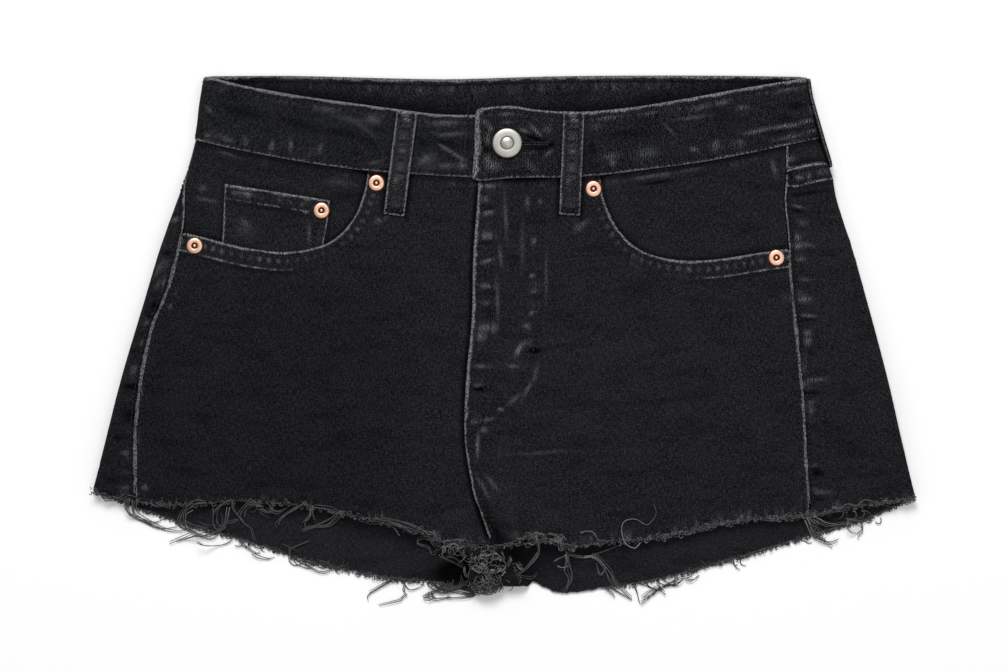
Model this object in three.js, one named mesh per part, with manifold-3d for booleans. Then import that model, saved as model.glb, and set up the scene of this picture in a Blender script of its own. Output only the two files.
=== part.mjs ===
// Cut-off denim shorts, fastened and laid flat on their back, with raw, frayed leg hems.
// Millimetres, +Z up from the surface they lie on, waist towards +Y, origin under the middle.
// "right" and "left" are the wearer's, so the right leg is on the -X side.
// Every cloth piece is a flat sheet cut to its outline, then shaped into a wall round the laid body.
import * as THREE from "three";
import { mergeVertices } from "three/addons/utils/BufferGeometryUtils.js";
import Module from "manifold-3d";

const wasm = await Module();
wasm.setup();

// Driving dimensions
const CLOTH = 1.1; // one layer of denim
const BAND = 2.2; // the waistband's two layers
const GAP = 0.3; // between layers
const SEAM = 0.4; // between pieces that meet at a seam
const LAID_HEIGHT = 11.5; // middle of the front cloth over the surface, at the hips
const HEM_HEIGHT = 5.4; // the same at the front hems, which sag towards the back
const SAG_FROM = -30; // y where the front starts to sag
const SAG_TO = -120;
const POCKET_REST = CLOTH + GAP; // how far the back pockets and loops hold the back off the surface
const REST_FROM = -66; // y where the back starts down to the surface
const REST_TO = -90;
const FLY_LAP = 8; // the right front reaches this far under the left
const BAND_LAP_END = 15; // x where the waistband's under end stops
const BAND_LAP_START = -16; // x of its over end
const LOOP_WIDTH = 12.5;
const BUTTON = { x: 1, y: 119.5, radius: 9, neck: 2.2, eye: 2.9, slitTo: 26, slitWidth: 1.3 };
const RIVET_RADIUS = 5.2;
const STRAND = { radius: 0.42, steps: 5, apart: 1.3, tries: 14 };
const FRAY = { width: 1.7, thick: 0.9 };

const rows = (columns, values) =>
  values.map((row) => Object.fromEntries(columns.map((name, i) => [name, row[i]])));

// Outer edges of the laid shorts, seen from above
const EDGES = rows(
  ["y", "left", "right"],
  [
    [158, -180.5, 181.5],
    [144, -182, 183],
    [120, -185, 188.5],
    [99, -190.5, 196.5],
    [84, -195.5, 199.5],
    [54, -206.5, 209],
    [24, -215.5, 217.5],
    [-21, -229, 229.5],
    [-66, -240.5, 240],
    [-100, -249.5, 248.5],
  ],
);

// Side seams: how far each lies past the fold's outermost line, along the front
const SIDE_SEAMS = rows(
  ["y", "right", "left"],
  [
    [120, 1, 22],
    [99, 2, 30],
    [84, 7, 34],
    [66, 12.5, 38],
    [36, 15, 45],
    [7, 12.5, 50],
    [-24, 15, 55],
    [-60, 20, 60.5],
    [-105, 31, 67.5],
  ],
);

const FRONT_CENTRE = rows(
  ["y", "x"],
  [
    [140, -15.5],
    [97, -14.8],
    [50, -17.7],
    [14, -17.7],
    [-26, -22.3],
    [-60, -23.4],
    [-91, -18.3],
    [-110, -12],
    [-124, -7],
  ],
);

// The back's centre seam goes on under the crotch fold, in unrolled height
const BACK_CENTRE = rows(
  ["y", "x"],
  [
    [158, 14],
    [60, 12],
    [-60, 6],
    [-144, 0],
    [-180, -7],
  ],
);

const WAIST_SEAM_FRONT = rows(
  ["x", "y"],
  [
    [-188, 120],
    [-155, 112.5],
    [-116, 105.5],
    [-82, 101],
    [-38, 98],
    [-16, 97],
    [47, 97.5],
    [96, 103],
    [127, 107.5],
    [157, 113.5],
    [190, 120.5],
  ],
);

const WAIST_SEAM_BACK = rows(
  ["x", "y"],
  [
    [-188, 120],
    [14, 117.5],
    [190, 120.5],
  ],
);

const WAIST_TOP_RIGHT = rows(
  ["x", "y"],
  [
    [-181, 156.5],
    [-122, 148],
    [-68, 139],
    [-38, 135.5],
    [20, 136],
  ],
);

const WAIST_TOP_LEFT = rows(
  ["x", "y"],
  [
    [-16, 138.5],
    [4, 140],
    [17, 138],
    [40, 136.5],
    [60, 137.5],
    [82, 140],
    [112, 145],
    [142, 150.5],
    [182, 157],
  ],
);

const WAIST_TOP_BACK = rows(
  ["x", "y"],
  [
    [-181, 157.5],
    [-128, 157.5],
    [-62, 155.5],
    [-32, 155],
    [34, 157],
    [120, 158],
    [182, 157.5],
  ],
);

const YOKE_SEAM = rows(
  ["x", "y"],
  [
    [-200, 103],
    [-100, 88],
    [12, 73],
    [110, 89],
    [200, 106],
    [232, 101],
  ],
);

// Raw hems, outer corner first
const FRONT_HEM_RIGHT = rows(
  ["x", "y"],
  [
    [-249, -91],
    [-228, -96],
    [-195, -99.5],
    [-163, -97],
    [-122, -99.5],
    [-95, -105],
    [-55, -114.5],
    [-38, -121],
    [-7, -124],
  ],
);

const FRONT_HEM_LEFT = rows(
  ["x", "y"],
  [
    [-7, -124],
    [5, -121.5],
    [19, -117.5],
    [38, -124.5],
    [56, -122],
    [92, -119],
    [136, -109.5],
    [185, -105],
    [215, -99.5],
    [248, -95.5],
  ],
);

const BACK_HEM_RIGHT = rows(
  ["x", "y"],
  [
    [-249, -91],
    [-228, -99.5],
    [-195, -110.5],
    [-163, -119.5],
    [-117, -134],
    [-72, -143.5],
    [-47, -146],
    [-31, -148.5],
  ],
);

const BACK_HEM_LEFT = rows(
  ["x", "y"],
  [
    [17, -146],
    [34, -153],
    [63, -149.5],
    [92, -145],
    [136, -133],
    [186, -118],
    [216, -109],
    [248, -95.5],
  ],
);

// The crotch strip of each back panel, in unrolled height: its rims beside the leg openings
const FORK_RIM_RIGHT = rows(
  ["x", "y"],
  [
    [-23, -152],
    [-20.5, -160],
    [-27, -169],
    [-37, -177],
  ],
);

const FORK_RIM_LEFT = rows(
  ["x", "y"],
  [
    [19, -176],
    [20, -168],
    [13, -160],
    [11, -152],
  ],
);

const POCKET_RIGHT = rows(
  ["x", "y"],
  [
    [-81.5, 101.5],
    [-84, 88],
    [-91, 71.5],
    [-105.5, 58],
    [-129, 52.5],
    [-155, 55],
    [-181, 61.5],
    [-196, 65],
  ],
);

const POCKET_LEFT = rows(
  ["x", "y"],
  [
    [57.5, 98.5],
    [60.5, 82],
    [70, 64],
    [84, 52.5],
    [105, 47.5],
    [127, 48],
    [150, 51.5],
    [174, 55],
  ],
);

const COIN_POCKET = rows(
  ["x", "y"],
  [
    [-167.5, 93.5],
    [-104.5, 83.5],
    [-106, 70],
    [-110, 49],
    [-169.5, 49],
  ],
);

// Half outline of a back pocket, from the middle of its top
const BACK_POCKET = rows(
  ["x", "y"],
  [
    [64, 66],
    [57, -44],
    [0, -62],
  ],
);

// Soft folds of the laid front: a long hump each, with its direction in degrees
const FOLDS = rows(
  ["x", "y", "length", "width", "height", "turn"],
  [
    [-5, -118, 50, 36, 4.5, 0],
    [-110, 10, 60, 26, 1.4, 20],
    [110, 0, 60, 28, 1.4, -18],
    [-60, -88, 34, 7, 1.1, 28],
    [60, -92, 34, 7, 1.2, -24],
    [-150, -60, 40, 9, 0.9, 75],
    [150, -55, 45, 9, 0.9, -78],
    [206, 78, 16, 4, 1, -20],
  ],
);

const BELT_LOOPS_FRONT = rows(
  ["name", "topX", "topY", "endX", "endY"],
  [
    ["belt_loop_front_right", -58, 136.8, -66, 74.5],
    ["belt_loop_front_left", 42, 136.5, 39.3, 74.5],
  ],
);

const BELT_LOOPS_BACK = rows(
  ["name", "u", "topY", "endY"],
  [
    ["belt_loop_side_right", -166, 158.4, 97],
    ["belt_loop_centre_back", 14, 156, 94],
  ],
);

const RIVETS = rows(
  ["name", "x", "y", "on"],
  [
    ["rivet_right_upper", -77, 94, 0],
    ["rivet_right_lower", -185.5, 57, 0],
    ["rivet_coin_pocket", -109.5, 78, -1],
    ["rivet_left_upper", 53.5, 91, 0],
    ["rivet_left_lower", 163.5, 49, 0],
  ],
);

// Tufts of loose yarn along each hem: where, over what width, how many, how long and which way
const TUFTS_FRONT_RIGHT = rows(
  ["x", "spread", "count", "long", "turn"],
  [
    [-236, 16, 4, 9, 0.2],
    [-218, 14, 6, 24, 0.9],
    [-190, 18, 5, 16, -0.3],
    [-164, 16, 7, 26, 0.1],
    [-140, 16, 5, 14, 0.4],
    [-112, 18, 5, 15, -0.5],
    [-70, 16, 5, 20, 0.7],
    [-46, 10, 4, 12, 0.3],
  ],
);

const TUFTS_FRONT_LEFT = rows(
  ["x", "spread", "count", "long", "turn"],
  [
    [24, 12, 4, 14, -0.4],
    [46, 14, 4, 16, 0.3],
    [64, 16, 4, 20, 0.7],
    [100, 34, 5, 6, 0.1],
    [150, 40, 6, 6, -0.1],
    [190, 16, 6, 16, 0.4],
    [222, 26, 5, 11, -0.6],
  ],
);

const TUFTS_BACK_RIGHT = rows(
  ["x", "spread", "count", "long", "turn"],
  [
    [-212, 22, 6, 9, 0.7],
    [-180, 26, 6, 10, 0.6],
    [-140, 30, 6, 7, 0.5],
    [-104, 26, 6, 6, 0.1],
    [-66, 22, 6, 10, -0.5],
    [-44, 12, 4, 7, 0.2],
  ],
);

const TUFTS_BACK_LEFT = rows(
  ["x", "spread", "count", "long", "turn"],
  [
    [78, 22, 7, 9, -0.3],
    [108, 26, 5, 6, -0.4],
    [150, 40, 6, 4, 0],
    [205, 34, 6, 5, 0.3],
  ],
);

const ease = (t) => THREE.MathUtils.smoothstep(t, 0, 1);

// A smooth function through a table's rows, from one column to another
function through(table, from, to) {
  const points = [...table].sort((a, b) => a[from] - b[from]);
  const xs = points.map((p) => p[from]);
  const ys = points.map((p) => p[to]);
  const slope = (i, j) => (ys[j] - ys[i]) / (xs[j] - xs[i]);
  const tangent = (i) => slope(Math.max(i - 1, 0), Math.min(i + 1, xs.length - 1));
  return (x) => {
    let i = 0;
    while (i < xs.length - 2 && x > xs[i + 1]) i += 1;
    const width = xs[i + 1] - xs[i];
    const t = THREE.MathUtils.clamp((x - xs[i]) / width, 0, 1);
    const [a, b] = [2 * t ** 3 - 3 * t ** 2 + 1, t ** 3 - 2 * t ** 2 + t];
    const [c, d] = [3 * t ** 2 - 2 * t ** 3, t ** 3 - t ** 2];
    return a * ys[i] + b * width * tangent(i) + c * ys[i + 1] + d * width * tangent(i + 1);
  };
}

const edgeRight = through(EDGES, "y", "right");
const edgeLeft = through(EDGES, "y", "left");
const seamRight = through(SIDE_SEAMS, "y", "right");
const seamLeft = through(SIDE_SEAMS, "y", "left");
const frontCentre = through(FRONT_CENTRE, "y", "x");
const backCentre = through(BACK_CENTRE, "y", "x");
const waistSeamFront = through(WAIST_SEAM_FRONT, "x", "y");
const waistSeamBack = through(WAIST_SEAM_BACK, "x", "y");
const yokeSeam = through(YOKE_SEAM, "x", "y");
const backHemRight = through(BACK_HEM_RIGHT, "x", "y");
const backHemLeft = through(BACK_HEM_LEFT, "x", "y");

// The laid body: how high the back's outside and the front's middle lie
const backRest = (y) => POCKET_REST * ease((y - REST_TO) / (REST_FROM - REST_TO));
const frontLevel = (y) =>
  LAID_HEIGHT - (LAID_HEIGHT - HEM_HEIGHT) * ease((SAG_FROM - y) / (SAG_FROM - SAG_TO));
const foldRadius = (y, half) => (frontLevel(y) - backRest(y) - half) / 2;

function folds(x, y) {
  let sum = 0;
  for (const fold of FOLDS) {
    const turn = THREE.MathUtils.degToRad(fold.turn);
    const [dx, dy] = [x - fold.x, y - fold.y];
    const along = (dx * Math.cos(turn) + dy * Math.sin(turn)) / fold.length;
    const across = (dy * Math.cos(turn) - dx * Math.sin(turn)) / fold.width;
    sum += fold.height * Math.exp(-(along ** 2 + across ** 2) / 2);
  }
  return sum;
}

function frontHeight(x, y) {
  const inside = Math.min(x - edgeLeft(y), edgeRight(y) - x) - foldRadius(y, CLOTH / 2);
  return frontLevel(y) + folds(x, y) * ease(inside / 22);
}

// The crotch fold: where the back cloth turns up between the legs, and how tightly
const CROTCH_FOLD = -144;
const forkTurn = (u) => CROTCH_FOLD - 9 * ease((-21 - u) / 9) - 12 * ease((u - 12) / 9);
const forkRadius = (u) => (frontHeight(u, CROTCH_FOLD) - CLOTH / 2) / 2;

// A point of the front cloth, given in plan; past a side fold's start it goes round the fold
function onFront(x, y) {
  const r = foldRadius(y, CLOTH / 2);
  const [start, end] = [edgeLeft(y) + r, edgeRight(y) - r];
  const past = Math.max(start - x, x - end);
  if (past <= 0) return new THREE.Vector3(x, y, frontHeight(x, y));
  const [side, turned] = [x < start ? -1 : 1, past / r];
  const tangent = side < 0 ? start : end;
  return new THREE.Vector3(
    tangent + side * r * Math.sin(turned),
    y,
    frontLevel(y) - r * (1 - Math.cos(turned)),
  );
}

// A point of the ring of cloth, unrolled from the back: round either side fold it comes to the front
function onRing(u, v, half = CLOTH / 2) {
  const low = backRest(v) + half;
  const down = forkTurn(u) - v;
  if (down > 0) {
    const r = forkRadius(u);
    if (down < Math.PI * r) {
      const turned = down / r;
      const z = CLOTH / 2 + r * (1 - Math.cos(turned));
      return new THREE.Vector3(u, forkTurn(u) - r * Math.sin(turned), z);
    }
    const y = forkTurn(u) + down - Math.PI * r;
    const rise = ease((down - Math.PI * r) / 12);
    const z = (1 - rise) * (CLOTH / 2 + 2 * r) + rise * frontHeight(u, y);
    return new THREE.Vector3(u, y, z);
  }
  const r = foldRadius(v, half);
  const [start, end] = [edgeLeft(v) + r, edgeRight(v) - r];
  const past = Math.max(start - u, u - end);
  if (past <= 0) return new THREE.Vector3(u, v, low);
  const side = u < start ? -1 : 1;
  const tangent = side < 0 ? start : end;
  if (past < Math.PI * r) {
    const turned = past / r;
    const z = low + r * (1 - Math.cos(turned));
    return new THREE.Vector3(tangent + side * r * Math.sin(turned), v, z);
  }
  const x = tangent - side * (past - Math.PI * r);
  return new THREE.Vector3(x, v, frontHeight(x, v));
}

// Plan x of the front, as the ring's unrolled u, by way of the right or the left fold
function unrolled(x, y, side, half = CLOTH / 2) {
  const r = foldRadius(y, half);
  const tangent = side < 0 ? edgeLeft(y) + r : edgeRight(y) - r;
  return 2 * tangent + side * Math.PI * r - x;
}

// The side seams, as front x and as ring u
function sideSeamFront(y, side) {
  const quarter = (Math.PI / 2 - 1) * foldRadius(y, CLOTH / 2);
  return side < 0 ? edgeLeft(y) - quarter + seamRight(y) : edgeRight(y) + quarter - seamLeft(y);
}

function sideSeamRing(y, side) {
  const quarter = (Math.PI / 2 - 1) * foldRadius(y, CLOTH / 2);
  return side < 0 ? edgeLeft(y) - quarter - seamRight(y) : edgeRight(y) + quarter + seamLeft(y);
}

// Where a side seam meets the waist seam
function seamTop(side) {
  let y = 118;
  for (let i = 0; i < 8; i += 1) y = waistSeamFront(sideSeamFront(y, side));
  return y;
}

// The waist seam's height round the unrolled ring
function waistSeamRing(u) {
  let y = 119;
  for (let i = 0; i < 8; i += 1) {
    const quarter = (Math.PI / 2 - 1) * foldRadius(y, CLOTH / 2);
    const round = u < edgeLeft(y) - quarter || u > edgeRight(y) + quarter;
    const x = onRing(u, y).x;
    y = round ? waistSeamFront(x) : waistSeamBack(x);
  }
  return y;
}

// Where a side seam meets the yoke seam
function yokeEnd(side) {
  let y = 100;
  for (let i = 0; i < 8; i += 1) y = yokeSeam(sideSeamRing(y, side));
  return y;
}

// The outward direction of a surface, from two neighbours of the point
function outward(surface, u, v, sign) {
  const step = 0.4;
  const across = surface(u + step, v).sub(surface(u - step, v));
  const up = surface(u, v + step).sub(surface(u, v - step));
  return across.cross(up).normalize().multiplyScalar(sign);
}

const FRONT = { surface: onFront, sign: 1 };
const BACK = { surface: onRing, sign: -1 };
const BAND_RING = { surface: (u, v) => onRing(u, v, BAND / 2), sign: -1 };

function solidFrom(geometry) {
  const bare = geometry.clone();
  bare.deleteAttribute("normal");
  bare.deleteAttribute("uv");
  const merged = mergeVertices(bare, 1e-4);
  return new wasm.Manifold(
    new wasm.Mesh({
      numProp: 3,
      vertProperties: merged.attributes.position.array,
      triVerts: new Uint32Array(merged.index.array),
    }),
  );
}

function geometryFrom(solid, place = (p) => p) {
  const mesh = solid.getMesh();
  const count = mesh.vertProperties.length / mesh.numProp;
  const position = new Float32Array(count * 3);
  for (let i = 0; i < count; i += 1) {
    const p = new THREE.Vector3().fromArray(mesh.vertProperties, i * mesh.numProp);
    place(p).toArray(position, i * 3);
  }
  return new THREE.BufferGeometry()
    .setAttribute("position", new THREE.BufferAttribute(position, 3))
    .setIndex(new THREE.BufferAttribute(mesh.triVerts, 1));
}

// A closed grid of the given points, (column, row, layer), two layers thick
function gridGeometry(columns, lines, at) {
  const index = (i, j, k) => (i * lines + j) * 2 + k;
  const position = [];
  const faces = [];
  for (let i = 0; i < columns; i += 1)
    for (let j = 0; j < lines; j += 1) for (const k of [0, 1]) position.push(...at(i, j, k));
  const quad = (a, b, c, d) => faces.push(a, b, c, a, c, d);
  for (let i = 0; i + 1 < columns; i += 1)
    for (let j = 0; j + 1 < lines; j += 1) {
      quad(index(i, j, 1), index(i + 1, j, 1), index(i + 1, j + 1, 1), index(i, j + 1, 1));
      quad(index(i, j, 0), index(i, j + 1, 0), index(i + 1, j + 1, 0), index(i + 1, j, 0));
    }
  const [lastI, lastJ] = [columns - 1, lines - 1];
  for (let i = 0; i < lastI; i += 1) {
    quad(index(i, 0, 0), index(i + 1, 0, 0), index(i + 1, 0, 1), index(i, 0, 1));
    quad(index(i + 1, lastJ, 0), index(i, lastJ, 0), index(i, lastJ, 1), index(i + 1, lastJ, 1));
  }
  for (let j = 0; j < lastJ; j += 1) {
    quad(index(0, j + 1, 0), index(0, j, 0), index(0, j, 1), index(0, j + 1, 1));
    quad(index(lastI, j, 0), index(lastI, j + 1, 0), index(lastI, j + 1, 1), index(lastI, j, 1));
  }
  return new THREE.BufferGeometry()
    .setAttribute("position", new THREE.BufferAttribute(new Float32Array(position), 3))
    .setIndex(faces);
}

// A flat sheet with its own mesh lines, cut to an outline and its holes: layer 0 inside, 1 outside
function cutSheet(columns, heights, outline, holes = []) {
  const flat = solidFrom(
    gridGeometry(columns.length, heights.length, (i, j, k) => [columns[i](heights[j]), heights[j], k]),
  );
  const clockwise = THREE.ShapeUtils.isClockWise(outline);
  const shape = new THREE.Shape(clockwise ? [...outline].reverse() : outline);
  shape.holes = holes.map((points) => new THREE.Path(points));
  const cutter = new THREE.ExtrudeGeometry(shape, { depth: 3, bevelEnabled: false });
  return flat.intersect(solidFrom(cutter.translate(0, 0, -1)));
}

// Shapes a cut sheet into a wall: out is how far its middle lies outside the surface, at (u, v)
function wall(sheet, cloth, thick, out = () => 0) {
  const place = (p) => {
    const away = out(p.x, p.y) + (p.z - 0.5) * thick;
    return cloth
      .surface(p.x, p.y)
      .addScaledVector(outward(cloth.surface, p.x, p.y, cloth.sign), away);
  };
  const inverted = cloth.sign < 0 ? sheet.mirror([0, 0, 1]).translate([0, 0, 1]) : sheet;
  if (cloth.sign > 0) return geometryFrom(inverted, place);
  return geometryFrom(inverted, (p) => place(new THREE.Vector3(p.x, p.y, 1 - p.z)));
}

const vector = (x, y) => new THREE.Vector2(x, y);
const spread = (from, to, count) =>
  Array.from({ length: count + 1 }, (_, i) => from + ((to - from) * i) / count);

// Points along a table's smooth curve, evenly spaced
function curvePoints(table, count) {
  return new THREE.SplineCurve(table.map((p) => vector(p.x, p.y))).getSpacedPoints(count);
}

const denim = new THREE.MeshStandardMaterial({ color: 0x1f2023, roughness: 0.95 });
const steel = new THREE.MeshStandardMaterial({ color: 0xc9c6bd, roughness: 0.35, metalness: 1 });
const copper = new THREE.MeshStandardMaterial({ color: 0xc9825a, roughness: 0.4, metalness: 1 });

const shorts = new THREE.Group();

function add(name, geometry, material = denim) {
  const mesh = new THREE.Mesh(geometry, material);
  mesh.name = name;
  shorts.add(mesh);
  return mesh;
}

const BODY_LINES = [
  ...spread(-128, -100, 3),
  ...spread(-84, 28, 7),
  ...spread(42, 124, 6),
];

// Front panels: side seam, hem, crotch, centre, waist seam and the scooped pocket mouth
function frontPanel(side) {
  const half = SEAM / 2;
  const hem = side < 0 ? FRONT_HEM_RIGHT : FRONT_HEM_LEFT;
  const pocket = curvePoints(side < 0 ? POCKET_RIGHT : POCKET_LEFT, 14);
  const seam = (y) => sideSeamFront(y, side) - side * half;
  const centre = (y) => frontCentre(y) + (side < 0 ? FLY_LAP : 0);
  const hemAt = through(hem, "x", "y");
  const seamFoot = side < 0 ? -101 : -105;
  const seamHead = pocket.at(-1).y + (side < 0 ? -2.5 : -2);
  const hemFrom = seam(seamFoot);
  const hemTo = -7 + (side < 0 ? FLY_LAP : 0);
  const bottom = spread(hemFrom, hemTo, 20).map((x) => vector(x, hemAt(Math.max(x, side < 0 ? -250 : -7))));
  if (side < 0) bottom.forEach((p) => p.setY(p.x > -7 ? -124 : p.y));
  const middle = spread(-117, 84, 15).map((y) => vector(centre(y), y));
  const waistFrom = centre(96);
  const waist = spread(waistFrom, pocket[0].x, 5).map((x) => vector(x, waistSeamFront(x) - half));
  const mouth = pocket.filter((p) => side * (p.x - seam(p.y)) < -1 && p.y < waistSeamFront(p.x) - 2);
  const edge = spread(seamHead, seamFoot + 4, 16).map((y) => vector(seam(y), y));
  const outline = [...bottom, ...middle, ...waist, ...mouth, ...edge];
  const arc = [1, 0.75, 0.5, 0.25].map(
    (share) => (y) => edgeLeft(y) + foldRadius(y, CLOTH / 2) * (1 - (share * Math.PI) / 2),
  );
  const columns =
    side < 0
      ? [
          (y) => edgeLeft(y) - 12,
          ...arc,
          ...spread(0, 1, 14).map((t) => (y) => {
            const from = edgeLeft(y) + foldRadius(y, CLOTH / 2);
            return from + t * (frontCentre(y) + 14 - from);
          }),
        ]
      : [-4, 4, 10, 14, 18, 23, ...spread(36, 206, 11)].map((far) => (y) => {
          const share = (edgeRight(y) - 8 - frontCentre(y)) / 206;
          return frontCentre(y) + (far < 24 ? far : 23 + (far - 23) * share);
        });
  const lift = (x, y) =>
    side < 0 ? 0 : (CLOTH + GAP) * (1 - ease((x - frontCentre(y) - FLY_LAP - 2) / 13));
  const sheet = cutSheet(columns, BODY_LINES, outline);
  add(side < 0 ? "front_right" : "front_left", wall(sheet, FRONT, CLOTH, lift));
}

// Mesh lines of the ring, following a side fold from the front across to the centre back
function ringColumns(side, reach, count, half = CLOTH / 2) {
  const tangent = (y) =>
    side < 0 ? edgeLeft(y) + foldRadius(y, half) : edgeRight(y) - foldRadius(y, half);
  const fold = spread(0, 1, 6).map((t) => (y) => tangent(y) + side * t * Math.PI * foldRadius(y, half));
  const flap = reach.map((far) => (y) => tangent(y) + side * (Math.PI * foldRadius(y, half) + far));
  const flat = spread(0, 1, count)
    .slice(0, -1)
    .map((t) => (y) => backCentre(y) - side * 14 + t * (tangent(y) - backCentre(y) + side * 14));
  const all = [...flat, ...fold, ...flap];
  return side < 0 ? all.reverse() : all;
}

// Back panels: side seam, hem, the crotch strip that folds up between the legs, centre and yoke seam
function backPanel(side) {
  const half = SEAM / 2;
  const seam = (y) => sideSeamRing(y, side) - side * half;
  const frontHem = through(side < 0 ? FRONT_HEM_RIGHT : FRONT_HEM_LEFT, "x", "y");
  const hemAt = side < 0 ? backHemRight : backHemLeft;
  const footY = side < 0 ? -95 : -101;
  const onFrontHem = (u, y) => frontHem(onRing(u, y).x);
  const flapFrom = seam(footY);
  const foot = side < 0 ? edgeLeft(-92) : edgeRight(-96);
  const flap = spread(flapFrom, foot + side * 2, side < 0 ? 4 : 7).map((u) =>
    vector(u, onFrontHem(u, footY)),
  );
  const inner = side < 0 ? -31 : 17;
  const hem = spread(foot - side * 4, inner, 18).map((u) => vector(u, hemAt(u)));
  const rim = curvePoints(side < 0 ? FORK_RIM_RIGHT : FORK_RIM_LEFT, 5);
  if (side > 0) rim.reverse();
  const centreAt = (y) => backCentre(y) + side * half;
  const fork = [vector(centreAt(-176.4), -176.4)];
  const centre = spread(-168, 60, 18).map((y) => vector(centreAt(y), y));
  const yokeFrom = centreAt(72);
  const corner = yokeEnd(side);
  const yokeTo = seam(corner);
  const top = spread(yokeFrom, yokeTo, 14).map((u) => vector(u, yokeSeam(u) - half));
  const edge = spread(corner - 4, footY + 4, 18).map((y) => vector(seam(y), y));
  const outline = [...flap, ...hem, ...rim, ...fork, ...centre, ...top, ...edge];
  const lines = [
    ...spread(-180, -160, 3),
    ...spread(-156, -142, 4),
    ...spread(-132, -92, 3),
    ...spread(-78, 110, 11),
  ];
  const columns = ringColumns(side, side < 0 ? [12, 30] : [16, 34, 52, 74], 14);
  const sheet = cutSheet(columns, lines, outline);
  add(side < 0 ? "back_right" : "back_left", wall(sheet, BACK, CLOTH));
}

function yoke(side) {
  const half = SEAM / 2;
  const seam = (y) => sideSeamRing(y, side) - side * half;
  const centre = backCentre(90) + side * half;
  const bottom = spread(centre, seam(yokeEnd(side)), 14).map((u) => vector(u, yokeSeam(u) + half));
  const top = spread(seam(seamTop(side)), centre, 60).map((u) => vector(u, waistSeamRing(u) - half));
  const lines = [...spread(66, 124, 4)];
  const columns = ringColumns(side, side < 0 ? [12] : [16, 34], 10);
  const sheet = cutSheet(columns, lines, [...bottom, ...top]);
  add(side < 0 ? "yoke_right" : "yoke_left", wall(sheet, BACK, CLOTH));
}

// The waistband: one strip all the way round, its left end buttoned over its right
function waistband() {
  const half = SEAM / 2;
  const topOf = { right: WAIST_TOP_RIGHT, left: WAIST_TOP_LEFT, back: WAIST_TOP_BACK };
  const top = Object.fromEntries(
    Object.entries(topOf).map(([part, table]) => [part, through(table, "x", "y")]),
  );
  const frontX = { right: spread(BAND_LAP_END, -174, 13), left: spread(176, BAND_LAP_START, 13) };
  const backX = spread(-176, 178, 22);
  const seamU = spread(unrolled(BAND_LAP_END, 98, -1, BAND / 2), unrolled(BAND_LAP_START, 98, 1, BAND / 2), 180);
  const onBand = (x, y, side) => vector(unrolled(x, y, side, BAND / 2), y);
  const upper = [
    ...frontX.right.map((x) => onBand(x, top.right(x), -1)),
    ...backX.map((x) => vector(x, top.back(x))),
    ...frontX.left.map((x) => onBand(x, top.left(x), 1)),
  ];
  const lower = seamU.map((u) => vector(u, waistSeamRing(u) + half));
  const slit = [
    [0, -1],
    [0.7, -0.7],
    [1, 0],
    [0.7, 0.7],
    [0, 1],
    [-0.7, 0.7],
    [-1, 0],
    [-0.7, -0.7],
  ].map(([x, y]) => [BUTTON.x + x * BUTTON.eye, BUTTON.y + y * BUTTON.eye]);
  const tail = [
    [BUTTON.slitTo, BUTTON.y - 1 - BUTTON.slitWidth / 2],
    [BUTTON.slitTo, BUTTON.y - 1 + BUTTON.slitWidth / 2],
  ];
  slit.splice(2, 1, [BUTTON.x + BUTTON.eye, BUTTON.y - 0.7], ...tail, [
    BUTTON.x + BUTTON.eye,
    BUTTON.y + 0.7,
  ]);
  const buttonhole = slit.map(([x, y]) => onBand(x, y, 1));
  const lines = spread(92, 160, 5);
  const lapped = [142, 148, 154, 159, 163, 170, 178, 186, 198];
  const onLeft = ringColumns(1, [...spread(10, 128, 7), ...lapped], 13, BAND / 2);
  const onRight = ringColumns(-1, spread(10, 206, 12), 13, BAND / 2);
  const columns = [
    ...onRight.slice(0, -2),
    ...onLeft.slice(1),
  ];
  const sheet = cutSheet(columns, lines, [...upper, ...lower.reverse()], [buttonhole]);
  const lift = (u, v) => {
    const x = onRing(u, v, BAND / 2).x;
    const over = u > 200 ? 1 : 0;
    return over * (BAND + GAP) * (1 - ease((x - BAND_LAP_END - 1.5) / 17));
  };
  add("waistband", wall(sheet, BAND_RING, BAND, lift));
}

// How far the pocket facing lies under the front cloth: deep at the mouth, level at the seams
function facingDepth(side) {
  const mouth = curvePoints(side < 0 ? POCKET_RIGHT : POCKET_LEFT, 40);
  const deep = side < 0 ? 2 * (CLOTH + GAP) : CLOTH + GAP;
  return (x, y) => {
    let near = Infinity;
    mouth.slice(1).forEach((p, i) => {
      const [along, away] = [p.clone().sub(mouth[i]), vector(x - p.x, y - p.y)];
      if (away.length() < Math.abs(near)) near = away.length() * Math.sign(side * along.cross(away));
    });
    const toSeam = Math.min(waistSeamFront(x) - y, Math.abs(x - sideSeamFront(y, side)));
    return -deep + (deep - 0.2) * ease(1 - toSeam / 13) * ease((near - 2) / 10);
  };
}

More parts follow.
